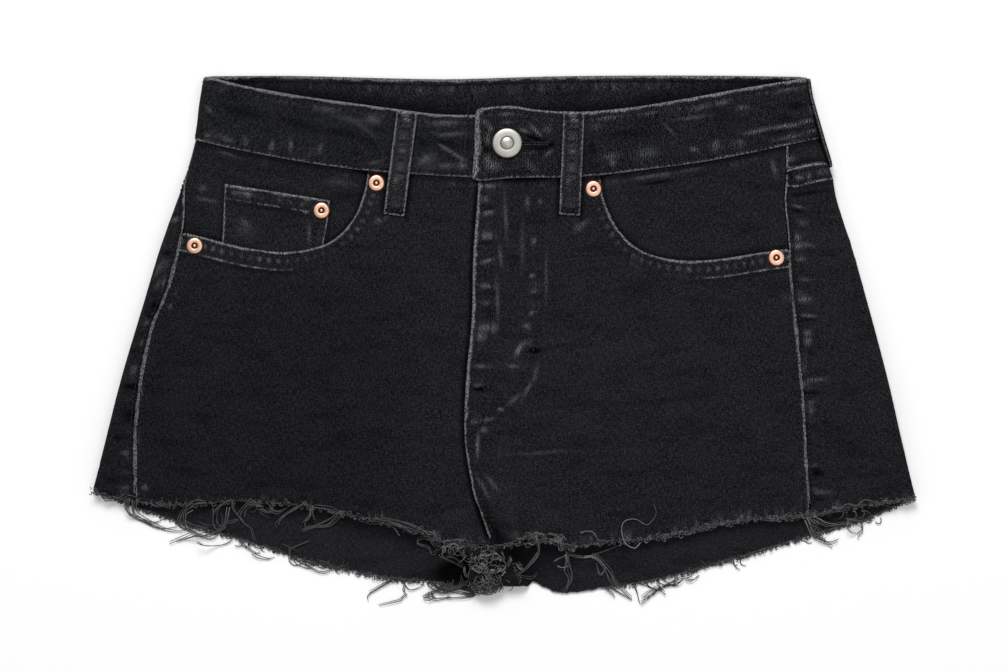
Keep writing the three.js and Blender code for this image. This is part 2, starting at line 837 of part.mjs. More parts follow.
function facing(side) {
  const half = SEAM / 2;
  const seam = (y) => sideSeamFront(y, side) - side * half;
  const mouth = curvePoints(side < 0 ? POCKET_RIGHT : POCKET_LEFT, 10);
  const middle = vector(side < 0 ? -145 : 125, 90);
  const under = mouth
    .slice(0, -1)
    .map((p) => p.clone().sub(middle).multiplyScalar(1 + 11 / p.distanceTo(middle)).add(middle))
    .filter((p) => side * (p.x - seam(p.y)) < -3 && p.y < waistSeamFront(p.x) - 2);
  const head = side < 0 ? -72 : 49;
  const corner = seamTop(side);
  const topY = (x) => waistSeamFront(x) - half;
  const waist = spread(head, seam(corner), 10).map((x) => vector(x, topY(x)));
  const edge = spread(corner - 4, under.at(-1).y, 8).map((y) => vector(seam(y), y));
  const outline = [...waist, ...edge, ...under.reverse()];
  const far = side < 0 ? (y) => edgeLeft(y) - 12 : (y) => sideSeamFront(y, 1) + 6;
  const near = side < 0 ? -66 : 42;
  const bend = [0.9, 0.45, 0].map(
    (share) => (y) => edgeLeft(y) + foldRadius(y, CLOTH / 2) * (1 - (share * Math.PI) / 2),
  );
  const columns =
    side < 0
      ? [far, ...bend, ...spread(-176, near, 9).map((x) => () => x)]
      : spread(0, 1, 9).map((t) => (y) => near + t * (far(y) - near));
  const sheet = cutSheet(columns, spread(30, 124, 8), outline);
  const name = side < 0 ? "pocket_facing_right" : "pocket_facing_left";
  add(name, wall(sheet, FRONT, CLOTH, facingDepth(side)));
}

function coinPocket() {
  const outline = COIN_POCKET.map((p) => vector(p.x, p.y));
  const depth = facingDepth(-1);
  const columns = spread(-172, -100, 7).map((x) => () => x);
  const sheet = cutSheet(columns, spread(44, 98, 5), outline);
  add("coin_pocket", wall(sheet, FRONT, CLOTH, (x, y) => depth(x, y) + CLOTH + GAP));
}

function backPocket(side) {
  const middle = backCentre(0) + side * 92;
  const half = BACK_POCKET.map((p) => vector(p.x, p.y));
  const mirrored = half.slice(0, -1).map((p) => vector(-p.x, p.y));
  const outline = [...half, ...mirrored.reverse()].map((p) => vector(p.x + middle, p.y));
  const columns = spread(middle - 66, middle + 66, 4).map((x) => () => x);
  const sheet = cutSheet(columns, spread(-64, 68, 3), outline);
  const name = side < 0 ? "back_pocket_right" : "back_pocket_left";
  add(name, wall(sheet, BACK, CLOTH, () => CLOTH + GAP));
}

// A belt loop: a narrow strap over the waistband, its foot on the cloth below
function beltLoop(name, cloth, line, out) {
  const [columns, lines] = [4, 9];
  const place = (i, j, k) => {
    const [u, v] = line((lines - 1 - j) / (lines - 1), (i / (columns - 1) - 0.5) * LOOP_WIDTH);
    const away = out((lines - 1 - j) / (lines - 1)) + (k - 0.5) * CLOTH * cloth.sign;
    return cloth
      .surface(u, v)
      .addScaledVector(outward(cloth.surface, u, v, cloth.sign), away)
      .toArray();
  };
  add(name, gridGeometry(columns, lines, place));
}

function beltLoops() {
  const low = CLOTH + GAP;
  const high = (BAND + CLOTH) / 2 + GAP;
  for (const loop of BELT_LOOPS_FRONT) {
    const [top, end] = [vector(loop.topX, loop.topY), vector(loop.endX, loop.endY)];
    const sideways = end.clone().sub(top).normalize();
    const line = (t, across) => {
      const p = top.clone().lerp(end, t);
      return [p.x - sideways.y * across, p.y + sideways.x * across];
    };
    const out = (t) => high - (high - low) * ease((t - 0.62) / 0.25) + 0.5 * Math.sin(Math.PI * t);
    beltLoop(loop.name, FRONT, line, out);
  }
  for (const loop of BELT_LOOPS_BACK) {
    const line = (t, across) => [loop.u + across, loop.topY + t * (loop.endY - loop.topY)];
    beltLoop(loop.name, BACK, line, () => low);
  }
  const [topY, endY] = [156.5, 103];
  const onFold = (t, across) => {
    const y = topY + t * (endY - topY);
    const r = foldRadius(y, CLOTH / 2);
    return [edgeRight(y) - r + 0.62 * Math.PI * r + across * 0.66, y];
  };
  const stand = (t) => high + 0.2 + 3 * Math.sin(Math.PI * t) * t;
  beltLoop("belt_loop_side_left", BACK, onFold, stand);
}

function rivets() {
  const depth = facingDepth(-1);
  const profile = [
    [0, 0],
    [4.7, 0],
    [RIVET_RADIUS, 0.5],
    [4.6, 1.15],
    [2.7, 1.15],
    [2.2, 0.7],
    [1.5, 1.5],
    [0, 1.8],
  ].map(([r, z]) => vector(r, z));
  for (const rivet of RIVETS) {
    const onCoin = rivet.on < 0 ? depth(rivet.x, rivet.y) + CLOTH + GAP : 0;
    const base = onFront(rivet.x, rivet.y);
    const overFly = rivet.x > 0 ? 0 : 0;
    const mesh = add(rivet.name, new THREE.LatheGeometry(profile, 16).rotateX(Math.PI / 2), copper);
    mesh.position.set(base.x, base.y, base.z + onCoin + overFly + CLOTH / 2 + 0.45);
  }
}

function button() {
  const level = frontHeight(BUTTON.x, BUTTON.y);
  const under = level + BAND / 2 + GAP;
  const over = under + BAND + GAP;
  const profile = [
    [0, under],
    [BUTTON.neck, under],
    [BUTTON.neck, over],
    [8.2, over],
    [BUTTON.radius, over + 0.6],
    [BUTTON.radius - 0.2, over + 1.5],
    [7.9, over + 2.1],
    [7.2, over + 1.8],
    [4, over + 1.6],
    [3.1, over + 1.7],
    [2.7, over + 2.3],
    [0, over + 2.7],
  ].map(([r, z]) => vector(r, z));
  const mesh = add("button", new THREE.LatheGeometry(profile, 28).rotateX(Math.PI / 2), steel);
  mesh.position.set(BUTTON.x, BUTTON.y, 0);
}

// A repeatable run of numbers from 0 to 1
function seeded(seed) {
  let state = seed;
  return () => {
    state = (state * 1664525 + 1013904223) % 4294967296;
    return state / 4294967296;
  };
}

const strandEnds = [];

// A three-sided strand of yarn along the given points
function strand(points) {
  const path = new THREE.CatmullRomCurve3(points);
  const section = new THREE.Shape(
    [0, 1, 2].map((i) => vector(0, STRAND.radius).rotateAround(vector(0, 0), (i * 2 * Math.PI) / 3)),
  );
  return new THREE.ExtrudeGeometry(section, {
    steps: STRAND.steps,
    bevelEnabled: false,
    extrudePath: path,
  });
}

function clearOfOthers(points) {
  const test = new THREE.CatmullRomCurve3(points).getSpacedPoints(24).slice(2);
  const clear = test.every((p) => strandEnds.every((q) => p.distanceTo(q) > STRAND.apart));
  if (clear) strandEnds.push(...test);
  return clear;
}

// A frayed edge: a narrow strip just off the cut edge, with loose strands rooted in it
function fringe(name, edge, cloth, tufts, seed, settle) {
  const random = seeded(seed);
  const at = (x, off) => {
    const slope = (edge(x + 1) - edge(x - 1)) / 2;
    const size = Math.hypot(1, slope);
    return [x + (off * slope) / size, edge(x) - off / size];
  };
  const [from, to] = [tufts.from, tufts.to];
  const count = Math.round(Math.abs(to - from) / 9);
  const stations = spread(from, to, count);
  const strip = gridGeometry(count + 1, 2, (i, j, k) => {
    const [u, v] = at(stations[i], GAP + 0.1 + (1 - j) * FRAY.width);
    const away = (k - 0.5) * FRAY.thick * cloth.sign + settle.lift;
    return cloth
      .surface(u, v)
      .addScaledVector(outward(cloth.surface, u, v, cloth.sign), away)
      .toArray();
  });
  let solid = solidFrom(strip);
  for (const tuft of tufts.rows)
    for (let n = 0; n < tuft.count; n += 1)
      for (let attempt = 0; attempt < STRAND.tries; attempt += 1) {
        const beside = tuft.x + (random() - 0.5) * tuft.spread;
        const x = THREE.MathUtils.clamp(beside, from + 1, to - 1);
        const long = tuft.long * (0.6 + 0.6 * random());
        const [turn, curl] = [tuft.turn + (random() - 0.5) * 0.9, (random() - 0.5) * 2.4];
        const [u, v] = at(x, GAP + 0.1 + FRAY.width * 0.6);
        const root = cloth
          .surface(u, v)
          .addScaledVector(outward(cloth.surface, u, v, cloth.sign), settle.lift);
        const points = spread(0, 1, STRAND.steps).map((t) => {
          const heading = turn + curl * t;
          const reach = long * t;
          return new THREE.Vector3(
            root.x + reach * Math.sin(heading),
            root.y - reach * Math.cos(heading),
            settle.height(root.z, reach, random),
          );
        });
        const beyond = points.slice(1).every((p) => p.y < settle.edge(p.x) - 2.2);
        if (beyond && clearOfOthers(points)) {
          solid = solid.add(solidFrom(strand(points)));
          break;
        }
      }
  add(name, geometryFrom(solid));
}

function fringes() {
  const droop = {
    lift: 0,
    height: (root, reach, random) =>
      Math.max(2.5, root - (root - 2.9) * ease(reach / 16)) + 0.5 * random() * ease(reach / 6),
  };
  const alongFloor = {
    lift: -0.2,
    height: (root, reach, random) => root + 0.5 * random() * ease(reach / 4),
  };
  const [rightHem, leftHem] = [FRONT_HEM_RIGHT, FRONT_HEM_LEFT].map((t) => through(t, "x", "y"));
  fringe(
    "fringe_front_right",
    rightHem,
    FRONT,
    { from: -243, to: -40, rows: TUFTS_FRONT_RIGHT },
    7,
    { ...droop, edge: rightHem },
  );
  fringe(
    "fringe_front_left",
    leftHem,
    FRONT,
    { from: 21, to: 242, rows: TUFTS_FRONT_LEFT },
    11,
    { ...droop, edge: leftHem },
  );
  fringe(
    "fringe_back_right",
    backHemRight,
    BACK,
    { from: -240, to: -32, rows: TUFTS_BACK_RIGHT },
    13,
    { ...alongFloor, edge: backHemRight },
  );
  fringe(
    "fringe_back_left",
    backHemLeft,
    BACK,
    { from: 64, to: 240, rows: TUFTS_BACK_LEFT },
    17,
    { ...alongFloor, edge: backHemLeft },
  );
}

for (const side of [-1, 1]) {
  frontPanel(side);
  backPanel(side);
  yoke(side);
  facing(side);
  backPocket(side);
}
waistband();
coinPocket();
beltLoops();
rivets();
button();
fringes();

// The origin is under the middle of the whole, on the surface that it lies on
shorts.updateMatrixWorld(true);
const bounds = new THREE.Box3().setFromObject(shorts);
const centre = bounds.getCenter(new THREE.Vector3());
shorts.position.set(-centre.x, -centre.y, -bounds.min.z);

export default shorts;
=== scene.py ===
"""Cut-off denim shorts, fastened and laid flat on their back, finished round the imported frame."""

import math

import bpy
import numpy as np
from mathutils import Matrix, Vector
from mathutils.geometry import delaunay_2d_cdt
from mathutils.kdtree import KDTree


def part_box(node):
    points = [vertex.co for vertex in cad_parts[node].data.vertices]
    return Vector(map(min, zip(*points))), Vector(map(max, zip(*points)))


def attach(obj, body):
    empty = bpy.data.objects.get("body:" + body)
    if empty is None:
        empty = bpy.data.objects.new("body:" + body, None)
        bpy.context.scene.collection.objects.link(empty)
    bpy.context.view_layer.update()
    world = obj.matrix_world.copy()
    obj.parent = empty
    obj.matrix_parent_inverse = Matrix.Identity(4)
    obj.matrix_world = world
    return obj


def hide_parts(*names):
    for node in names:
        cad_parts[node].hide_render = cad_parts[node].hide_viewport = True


bl_info = {
    "name": "Cut-off Denim Shorts",
    "version": (1, 0, 0),
    "blender": (4, 5, 0),
    "location": "View3D > Sidebar > Shorts",
    "description": "Adds laid-flat denim shorts with frayed hems, piece by piece",
    "category": "Add Mesh",
}

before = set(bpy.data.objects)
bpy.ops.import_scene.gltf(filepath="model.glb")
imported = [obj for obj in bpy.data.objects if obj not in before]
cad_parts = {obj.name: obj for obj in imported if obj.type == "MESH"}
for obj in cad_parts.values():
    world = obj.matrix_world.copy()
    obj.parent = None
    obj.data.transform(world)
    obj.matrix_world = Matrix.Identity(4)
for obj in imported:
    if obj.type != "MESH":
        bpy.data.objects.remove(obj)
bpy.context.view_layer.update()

# The garment is worked out in millimetres, from the tables that shaped its solids
MM = 0.001
CLOTH = 1.1
BAND = 2.2
GAP = 0.3
SEAM = 0.4
LAID_HEIGHT, HEM_HEIGHT = 11.5, 5.4
SAG_FROM, SAG_TO = -30, -120
POCKET_REST = CLOTH + GAP
REST_FROM, REST_TO = -66, -90
FLY_LAP = 8
BAND_LAP_END, BAND_LAP_START = 15, -16
LOOP_WIDTH = 12.5
BUTTON_X, BUTTON_Y, BUTTON_RADIUS = 1, 119.5, 9
# The button leans down on its shank
BUTTON_SEEN = (1.9, 117.6)
CROTCH_FOLD = -144
LEAST = 1e-6

# How far the photo's middle lies above the origin
PHOTO_MIDDLE_Y = 2.1

# y, left edge x, right edge x
EDGES = [(158, -179.5, 181.5), (144, -182, 183), (120, -185, 188.5), (99, -190.5, 196.5),
         (84, -195.5, 199.5), (54, -206.5, 209), (24, -215.5, 217.5), (-21, -229, 229.5),
         (-66, -240.5, 240), (-100, -249.5, 248.5)]
# y, how far the right and left side seams lie past the folds
SIDE_SEAMS = [(120, 1, 22), (99, 2, 30), (84, 7, 34), (66, 12.5, 38), (36, 15, 45), (7, 12.5, 50),
              (-24, 15, 55), (-60, 20, 60.5), (-105, 31, 67.5)]
FRONT_CENTRE = [(140, -15.5), (97, -15.2), (50, -18.4), (14, -19.2), (-26, -22.8), (-60, -23.4),
                (-91, -18.3), (-110, -12), (-124, -7)]
BACK_CENTRE = [(158, 14), (60, 12), (-60, 6), (-144, 0), (-180, -7)]
WAIST_SEAM_FRONT = [(-188, 120), (-155, 112.5), (-116, 105.5), (-82, 101), (-38, 98), (-16, 97),
                    (47, 97.5), (96, 103), (127, 107.5), (157, 113.5), (190, 120.5)]
WAIST_SEAM_BACK = [(-188, 120), (14, 117.5), (190, 120.5)]
WAIST_TOP_RIGHT = [(-181, 157.5), (-174, 156.8), (-158, 152.8), (-146, 150.4), (-122, 146.2), (-98, 142.8),
                   (-74, 139.5), (-62, 137.9), (-44, 135.6), (-26, 134.7), (20, 135.5)]
WAIST_TOP_LEFT = [(-16, 138.5), (4, 140), (17, 138), (40, 136.5), (60, 137.5), (82, 140),
                  (112, 145), (142, 150.5), (182, 157)]
WAIST_TOP_BACK = [(-181, 158.6), (-128, 158.8), (-62, 157.2), (-32, 156.8), (34, 158.6), (120, 159),
                  (182, 158.2)]
YOKE_SEAM = [(-200, 103), (-100, 88), (12, 73), (110, 89), (200, 106), (232, 101)]
FRONT_HEM_RIGHT = [(-249, -91), (-228, -96), (-195, -99.5), (-163, -97), (-122, -99.5),
                   (-95, -105), (-55, -114.5), (-38, -121), (-7, -124)]
FRONT_HEM_LEFT = [(-7, -124), (5, -121.5), (19, -117.5), (38, -124.5), (56, -122), (92, -119),
                  (136, -109.5), (185, -105), (215, -99.5), (248, -95.5)]
BACK_HEM_RIGHT = [(-249, -91), (-228, -99.5), (-195, -110.5), (-163, -119.5), (-117, -134),
                  (-72, -143.5), (-47, -146), (-31, -148.5)]
BACK_HEM_LEFT = [(17, -146), (34, -153), (63, -149.5), (92, -145), (136, -133), (186, -118),
                 (216, -109), (248, -95.5)]
FORK_RIM_RIGHT = [(-23, -152), (-20.5, -160), (-20.5, -169), (-23, -177)]
FORK_RIM_LEFT = [(3, -176), (4, -168), (7, -160), (11, -152)]
POCKET_RIGHT = [(-81.5, 101.5), (-84, 88), (-91, 71.5), (-105.5, 58), (-129, 52.5), (-155, 55),
                (-181, 61.5), (-196, 65)]
POCKET_LEFT = [(57.5, 98.5), (60.5, 82), (70, 64), (84, 52.5), (105, 47.5), (127, 48),
               (150, 51.5), (174, 55)]
COIN_POCKET = [(-167.5, 93.5), (-104.5, 83.5), (-106, 70), (-110, 49), (-169.5, 49)]
BACK_POCKET = [(64, 66), (57, -44), (0, -62)]
# x, y, length, width, height, turn in degrees
FOLDS = [(-5, -118, 50, 36, 4.5, 0), (-110, 10, 60, 26, 1.4, 20), (110, 0, 60, 28, 1.4, -18),
         (-60, -88, 34, 7, 1.1, 28), (60, -92, 34, 7, 1.2, -24), (-150, -60, 40, 9, 0.9, 75),
         (150, -55, 45, 9, 0.9, -78), (206, 78, 16, 4, 1, -20)]
# Small creases of the cloth itself, in the same columns
CREASES = [(0, -15, 16, 2.2, 0.5, -8), (32, -3, 26, 3.2, 0.45, 4), (62, -8, 30, 4, 0.35, 10),
           (-48, -20, 22, 4, 0.3, -12), (96, -10, 26, 4, 0.3, -6), (-7, -92, 24, 2.6, 0.6, 78),
           (4, -98, 22, 2.4, 0.6, 96), (-24, -104, 20, 3, 0.5, 28), (22, -104, 18, 3, 0.5, -32),
           (-60, -60, 28, 5, 0.35, 30), (58, -62, 30, 5, 0.35, -26), (-120, -40, 30, 6, 0.3, 12),
           (120, -44, 34, 6, 0.3, -10), (-168, 20, 16, 3, 0.4, 8), (-160, -16, 18, 3, 0.35, -4),
           (196, 60, 9, 1.8, 0.5, -4), (198, 46, 9, 2, 0.45, 6), (200, 30, 9, 2, 0.4, 10),
           (-104, 34, 14, 2.4, 0.35, -24), (-50, 90, 12, 2.6, 0.3, 60), (70, 88, 12, 2.6, 0.3, 110)]
BELT_LOOPS_FRONT = [("belt_loop_front_right", (-58, 136.8), (-66, 74.5)),
                    ("belt_loop_front_left", (42, 136.5), (39.3, 74.5))]
BELT_LOOPS_BACK = [("belt_loop_side_right", -166, 158.4, 97), ("belt_loop_centre_back", 14, 156, 94)]
RIVETS = [("rivet_right_upper", -76.5, 93.8), ("rivet_right_lower", -185.5, 56.2),
          ("rivet_coin_pocket", -109.5, 77.4), ("rivet_left_upper", 53.7, 90.3),
          ("rivet_left_lower", 163.4, 49)]
J_STITCH = [(23, 92), (24, 38), (21.5, 13), (19, 0), (14, -18), (4, -33), (-6, -41), (-20, -45.5)]

# Worn ridges and the dark dips beside them, in the same columns; a dip's negative height sinks the cloth and paints
# shade into it
STREAKS = [
    (-158, 137, 9.9, 1.8, -0.6, -14), (-122, 129, 8.4, 1.8, -0.6, -14), (-95, 123, 8.4, 1.6, -0.6, -16),
    (-79, 118, 3.8, 1.2, -0.5, -25), (-177, 138, 2.3, 0.7, 0.6, -48), (-175, 132, 2.7, 0.7, -0.5, -40),
    (-107, 138, 4.6, 1.4, 0.4, -10), (-92, 132, 5.3, 1.4, 0.3, -14), (-79, 132, 3, 1.8, 0.6, -15),
    (-74, 125, 2.3, 0.9, -0.4, -10), (-178, 122, 1.1, 1.2, 0.8, 60), (-166, 120, 2.3, 1.2, 0.7, -25),
    (-155, 118, 1.9, 0.7, 0.6, 95), (-139, 116, 1.9, 0.7, 1, 88), (-128, 116, 2.3, 0.8, 0.9, 88),
    (-110, 115, 1.9, 0.9, 0.6, 70), (-78, 106, 1.9, 0.7, 0.7, 10), (-90, 112, 1.5, 1.4, -0.5, 60),
    (-83, 126, 5.3, 0.9, 0.3, -35), (-75, 116, 3, 0.7, 0.3, -50), (-35, 130, 5.3, 1.2, 0.7, 4),
    (-31, 123, 5.3, 0.8, 0.7, 2), (-35, 118, 6.8, 1, -0.7, -16), (-49, 118, 2.3, 1.4, -0.6, -30),
    (-34, 114, 5.3, 0.7, 0.8, -34), (-26, 109, 3, 0.7, 0.6, -30), (-47, 108, 3, 1.8, 0.7, 20),
    (-35, 104, 3.8, 1.4, 0.5, 0), (-25, 104, 1.5, 1.8, 0.9, 60), (-22, 116, 2.3, 1.4, -0.5, 90),
    (-11, 130, 1.1, 1.8, 0.6, 70), (-8, 126, 1, 1.2, 0.9, 0), (-10, 120, 2.3, 0.9, 0.9, 88),
    (-10, 114, 1.9, 1.2, -0.8, 0), (-10, 108, 1.1, 1.8, 0.8, 0), (-7, 104, 2.7, 2.1, 0.8, 0),
    (1, 135, 2.7, 0.7, 0.8, 0), (2, 130, 2.3, 0.7, 0.5, 0), (12, 125, 1.9, 0.7, 1.1, -22),
    (19, 125, 3.4, 0.7, 1, -48), (17, 121, 4.2, 0.7, -1.3, -18), (20, 118, 3, 0.7, 0.7, -20),
    (27, 118, 1.5, 0.7, 1, -8), (20, 114, 5.3, 0.7, -1.3, 7), (29, 117, 1.5, 0.7, -1, 0),
    (17, 113, 3.4, 0.7, 0.8, 12), (27, 112, 2.3, 0.7, 0.8, 42), (15, 105, 2.3, 0.7, 0.5, -55),
    (26, 126, 1.9, 1.4, 0.4, 20), (8, 100, 6.1, 0.7, -0.5, 0), (62, 133, 3.4, 0.8, 0.7, 8),
    (55, 128, 2.3, 1.4, 0.3, 0), (88, 136, 3, 0.7, 0.6, 10), (118, 139, 3.8, 0.9, 0.6, 14),
    (131, 142, 2.7, 0.9, 0.8, 12), (143, 139, 2.3, 0.9, 0.7, 8), (171, 150, 5.3, 0.7, 0.6, 12),
    (112, 133, 6.1, 0.7, 0.5, 7), (99, 126, 3, 0.7, 0.4, -50), (73, 123, 11.4, 1.8, -0.5, 4),
    (53, 115, 2.3, 2.3, -0.7, 0), (131, 132, 5.3, 1.2, -0.5, 4), (176, 140, 3.8, 1.4, -0.8, 8),
    (169, 133, 3.8, 1.2, -0.6, 6), (64, 110, 3.4, 1.2, 0.5, 8), (65, 106, 1.5, 1, 0.9, 90),
    (86, 112, 4.2, 1.8, 0.5, 10), (114, 114, 1.9, 0.9, 0.7, 0), (127, 117, 1.9, 1.2, 0.8, 60),
    (142, 118, 1.5, 1.4, 0.4, 80), (152, 125, 4.9, 0.7, 1, 14), (169, 128, 5.3, 0.7, 1.1, 8),
    (182, 131, 3, 0.7, 0.9, 6), (164, 124, 7.6, 0.7, -0.7, 10), (172, 121, 6.1, 0.9, 0.7, 10),
    (185, 125, 2.3, 0.7, 0.7, 12), (184, 137, 2.7, 0.7, 0.8, -62), (88, 98, 7.6, 0.8, 0.6, 9),
    (112, 102, 6.1, 0.7, 0.5, 10), (91, 94, 6.8, 0.7, -1, 8), (118, 99, 5.3, 0.7, -0.5, 12),
    (162, 103, 3.4, 0.9, 0.6, -75), (-98, 94, 6.1, 1.6, 0.3, -6), (-181, 91, 1.5, 1.4, 0.5, -30),
    (-179, 84, 4.6, 0.7, 0.5, -10), (-167, 112, 5.3, 0.7, 0.5, -20), (-92, 86, 4.6, 1.2, -0.4, 10),
    (171, 108, 1.1, 1.2, 1, 60), (176, 104, 4.6, 0.7, 0.6, 10), (177, 97, 1.9, 0.9, 0.8, 0),
    (183, 97, 1.5, 0.7, 1, 80), (191, 100, 1.1, 1.4, 0.6, 60), (183, 88, 7.6, 0.9, -0.9, 6),
    (176, 80, 2.7, 0.7, 1, -12), (176, 77, 3, 0.8, -1, -8), (179, 70, 2.3, 1.4, 0.4, 0),
    (176, 56, 2.3, 0.9, 1, 0), (176, 61, 1.1, 1.2, 1, 0), (182, 57, 3, 0.7, 0.6, -10),
    (177, 48, 2.3, 0.7, 0.5, 0), (180, 36, 2.3, 0.7, 0.5, 0), (180, 24, 2.7, 0.7, 0.9, 5),
    (183, 14, 3.4, 0.7, 0.9, -8), (182, 12, 4.6, 0.7, -0.8, 6), (182, 4, 1.5, 1.2, 0.8, 0),
    (182, -1, 1.5, 1.6, 0.9, 0), (180, -16, 3.8, 0.7, 0.9, -86), (184, -8, 1, 1.2, -0.8, 0),
    (187, -24, 3.8, 0.7, 0.8, 4), (180, -27, 1.5, 1.4, 0.9, 0), (184, -32, 4.6, 0.9, -1, 0),
    (183, -38, 3, 0.7, 0.5, 10), (183, -42, 1.9, 1.6, 0.8, -30), (184, -52, 2.3, 0.7, -0.5, 0),
    (185, -76, 3, 0.7, 0.5, 0), (188, -80, 2.7, 1.6, -1.1, 0), (186, -90, 3, 0.7, 0.4, 0),
    (190, -92, 5.3, 0.7, 0.6, 0), (189, -96, 1.9, 0.9, -0.9, 0), (232, -90, 4.6, 2.8, -0.3, 0),
    (-196, 72, 1.9, 0.7, 0.9, 20), (-202, 52, 1.9, 1.4, -0.9, 20), (-200, 60, 2.3, 1.8, -0.3, 0),
    (-207, 42, 3.8, 0.9, 0.5, 65), (-204, 33, 3, 0.7, 0.9, 75), (-208, 32, 2.7, 0.9, 0.5, 65),
    (-209, 20, 2.3, 1.8, -0.9, 10), (-212, 13, 1.9, 0.7, -0.9, -40), (-214, 10, 1.5, 0.9, 0.6, 30),
    (-217, -2, 2.3, 1.2, 0.7, 60), (-222, -18, 2.3, 1.6, 0.9, 60), (-223, -28, 4.6, 1.2, -1.1, 0),
    (-225, -36, 3, 0.9, 0.3, 0), (-224, -45, 3.4, 2.8, -0.7, 0), (-225, -54, 3, 1.4, 0.3, 0),
    (-231, -59, 2.3, 1.4, -0.6, 0), (-227, -68, 2.3, 1.2, 0.6, 0), (-224, -72, 3, 1.4, 0.5, 0),
    (-227, -80, 3, 1.4, 0.4, 0), (-235, -84, 3.8, 1.8, -0.5, 0), (-228, -89, 3, 0.9, 0.5, 0),
    (-200, 20, 1.5, 0.7, 0.8, 70), (-197, 28, 1.9, 1.4, 0.4, 60), (-216, -89, 1.9, 1.4, 0.8, 0),
    (-219, -60, 3.4, 0.7, 0.6, 88), (-217, -30, 3, 0.7, 0.9, 86), (-209, -22, 5.3, 0.9, -0.3, 0),
    (-9, 92, 2.7, 0.7, 1.2, 0), (-12, 84, 1.5, 1.2, 0.8, 0), (-9, 79, 2.3, 1, -0.6, 10),
    (-10, 76, 2.7, 1, 1, 16), (-10, 62, 3, 1.4, 0.9, 0), (-9, 58, 3, 0.8, -0.7, 0),
    (-10, 47, 3, 0.8, 0.9, 14), (-11, 32, 2.7, 0.9, 0.8, -6), (-9, 28, 2.3, 0.9, -0.5, 0),
    (-11, 22, 2.3, 0.7, 0.5, 0), (-8, 16, 1.5, 1.8, -0.6, 0), (-11, 7, 3.4, 1.4, 0.8, 0),
    (-14, 2, 1.9, 1.8, 0.9, 0), (-6, 7, 1.5, 2.3, 0.5, 0), (1, 74, 8.4, 0.7, 0.6, 93),
    (-2, 50, 4.6, 0.7, 0.6, 96), (-4, 24, 7.6, 0.7, 0.6, 92), (14, 82, 2.3, 0.9, 0.6, 90),
    (22, 83, 1.1, 0.9, 0.8, 0), (18, 59, 1.1, 1.6, 0.7, 0), (11, 56, 9.1, 0.9, 0.3, 90),
    (25, 38, 9.1, 0.7, 0.5, 90), (17, 38, 1.1, 0.7, 1, 20), (18, 29, 1.5, 0.7, 1, 10),
    (17, 16, 1.5, 0.7, 1, 30), (14, 8, 1.9, 1.2, 0.7, 0), (9, -6, 2.7, 0.9, 1.4, 62),
    (14, -2, 1.5, 0.9, 1.2, 30), (18, -7, 3, 0.7, -1.6, 0), (5, -16, 1.9, 0.7, 0.8, -5),
    (-14, -16, 3.4, 0.7, 0.7, -4), (19, -20, 3.4, 0.7, 0.6, 78), (14, -30, 3.4, 0.7, 0.7, 62),
    (6, -36, 3, 0.7, 0.7, 40), (-2, -42, 1.1, 0.7, 1.2, 0), (-16, -28, 1.9, 0.7, 0.7, 10),
    (-14, -30, 3, 0.7, -1.3, -3), (-18, -49, 1.1, 0.9, 1, 30), (-10, -48, 2.7, 0.7, 0.7, 10),
    (-12, -54, 1.1, 1.2, 0.8, 90), (-16, -64, 4.9, 0.7, 1.2, 86), (-13, -88, 4.6, 0.7, 0.9, -62),
    (-7, -86, 3.8, 0.7, 0.6, -50), (22, -68, 11.4, 0.7, 0.3, 4), (46, -70, 11.4, 0.7, -0.3, 0),
    (34, -4, 11.4, 0.7, -0.4, 8), (-155, 88, 3.8, 1.2, 0.7, -12), (-133, 86, 3, 0.9, 0.5, -10),
    (-118, 84, 1.5, 1.4, 0.9, 0), (-119, 76, 1.1, 0.9, 1, 0), (-155, 70, 2.3, 0.9, 0.5, -40),
    (-156, 66, 3.8, 2.8, 0.2, -30), (-117, 64, 3.8, 0.7, 0.5, 90), (-74, 72, 2.7, 1.2, 0.7, 30),
    (46, 68, 3, 1.4, 0.6, 40)]
# The free end of the buttoned waistband, from its top to its bottom corner
FLAP_END = [(-16.2, 137.6), (-17.1, 135), (-17.4, 128), (-17.6, 119), (-18.1, 110), (-18.7, 101), (-18.8, 96)]

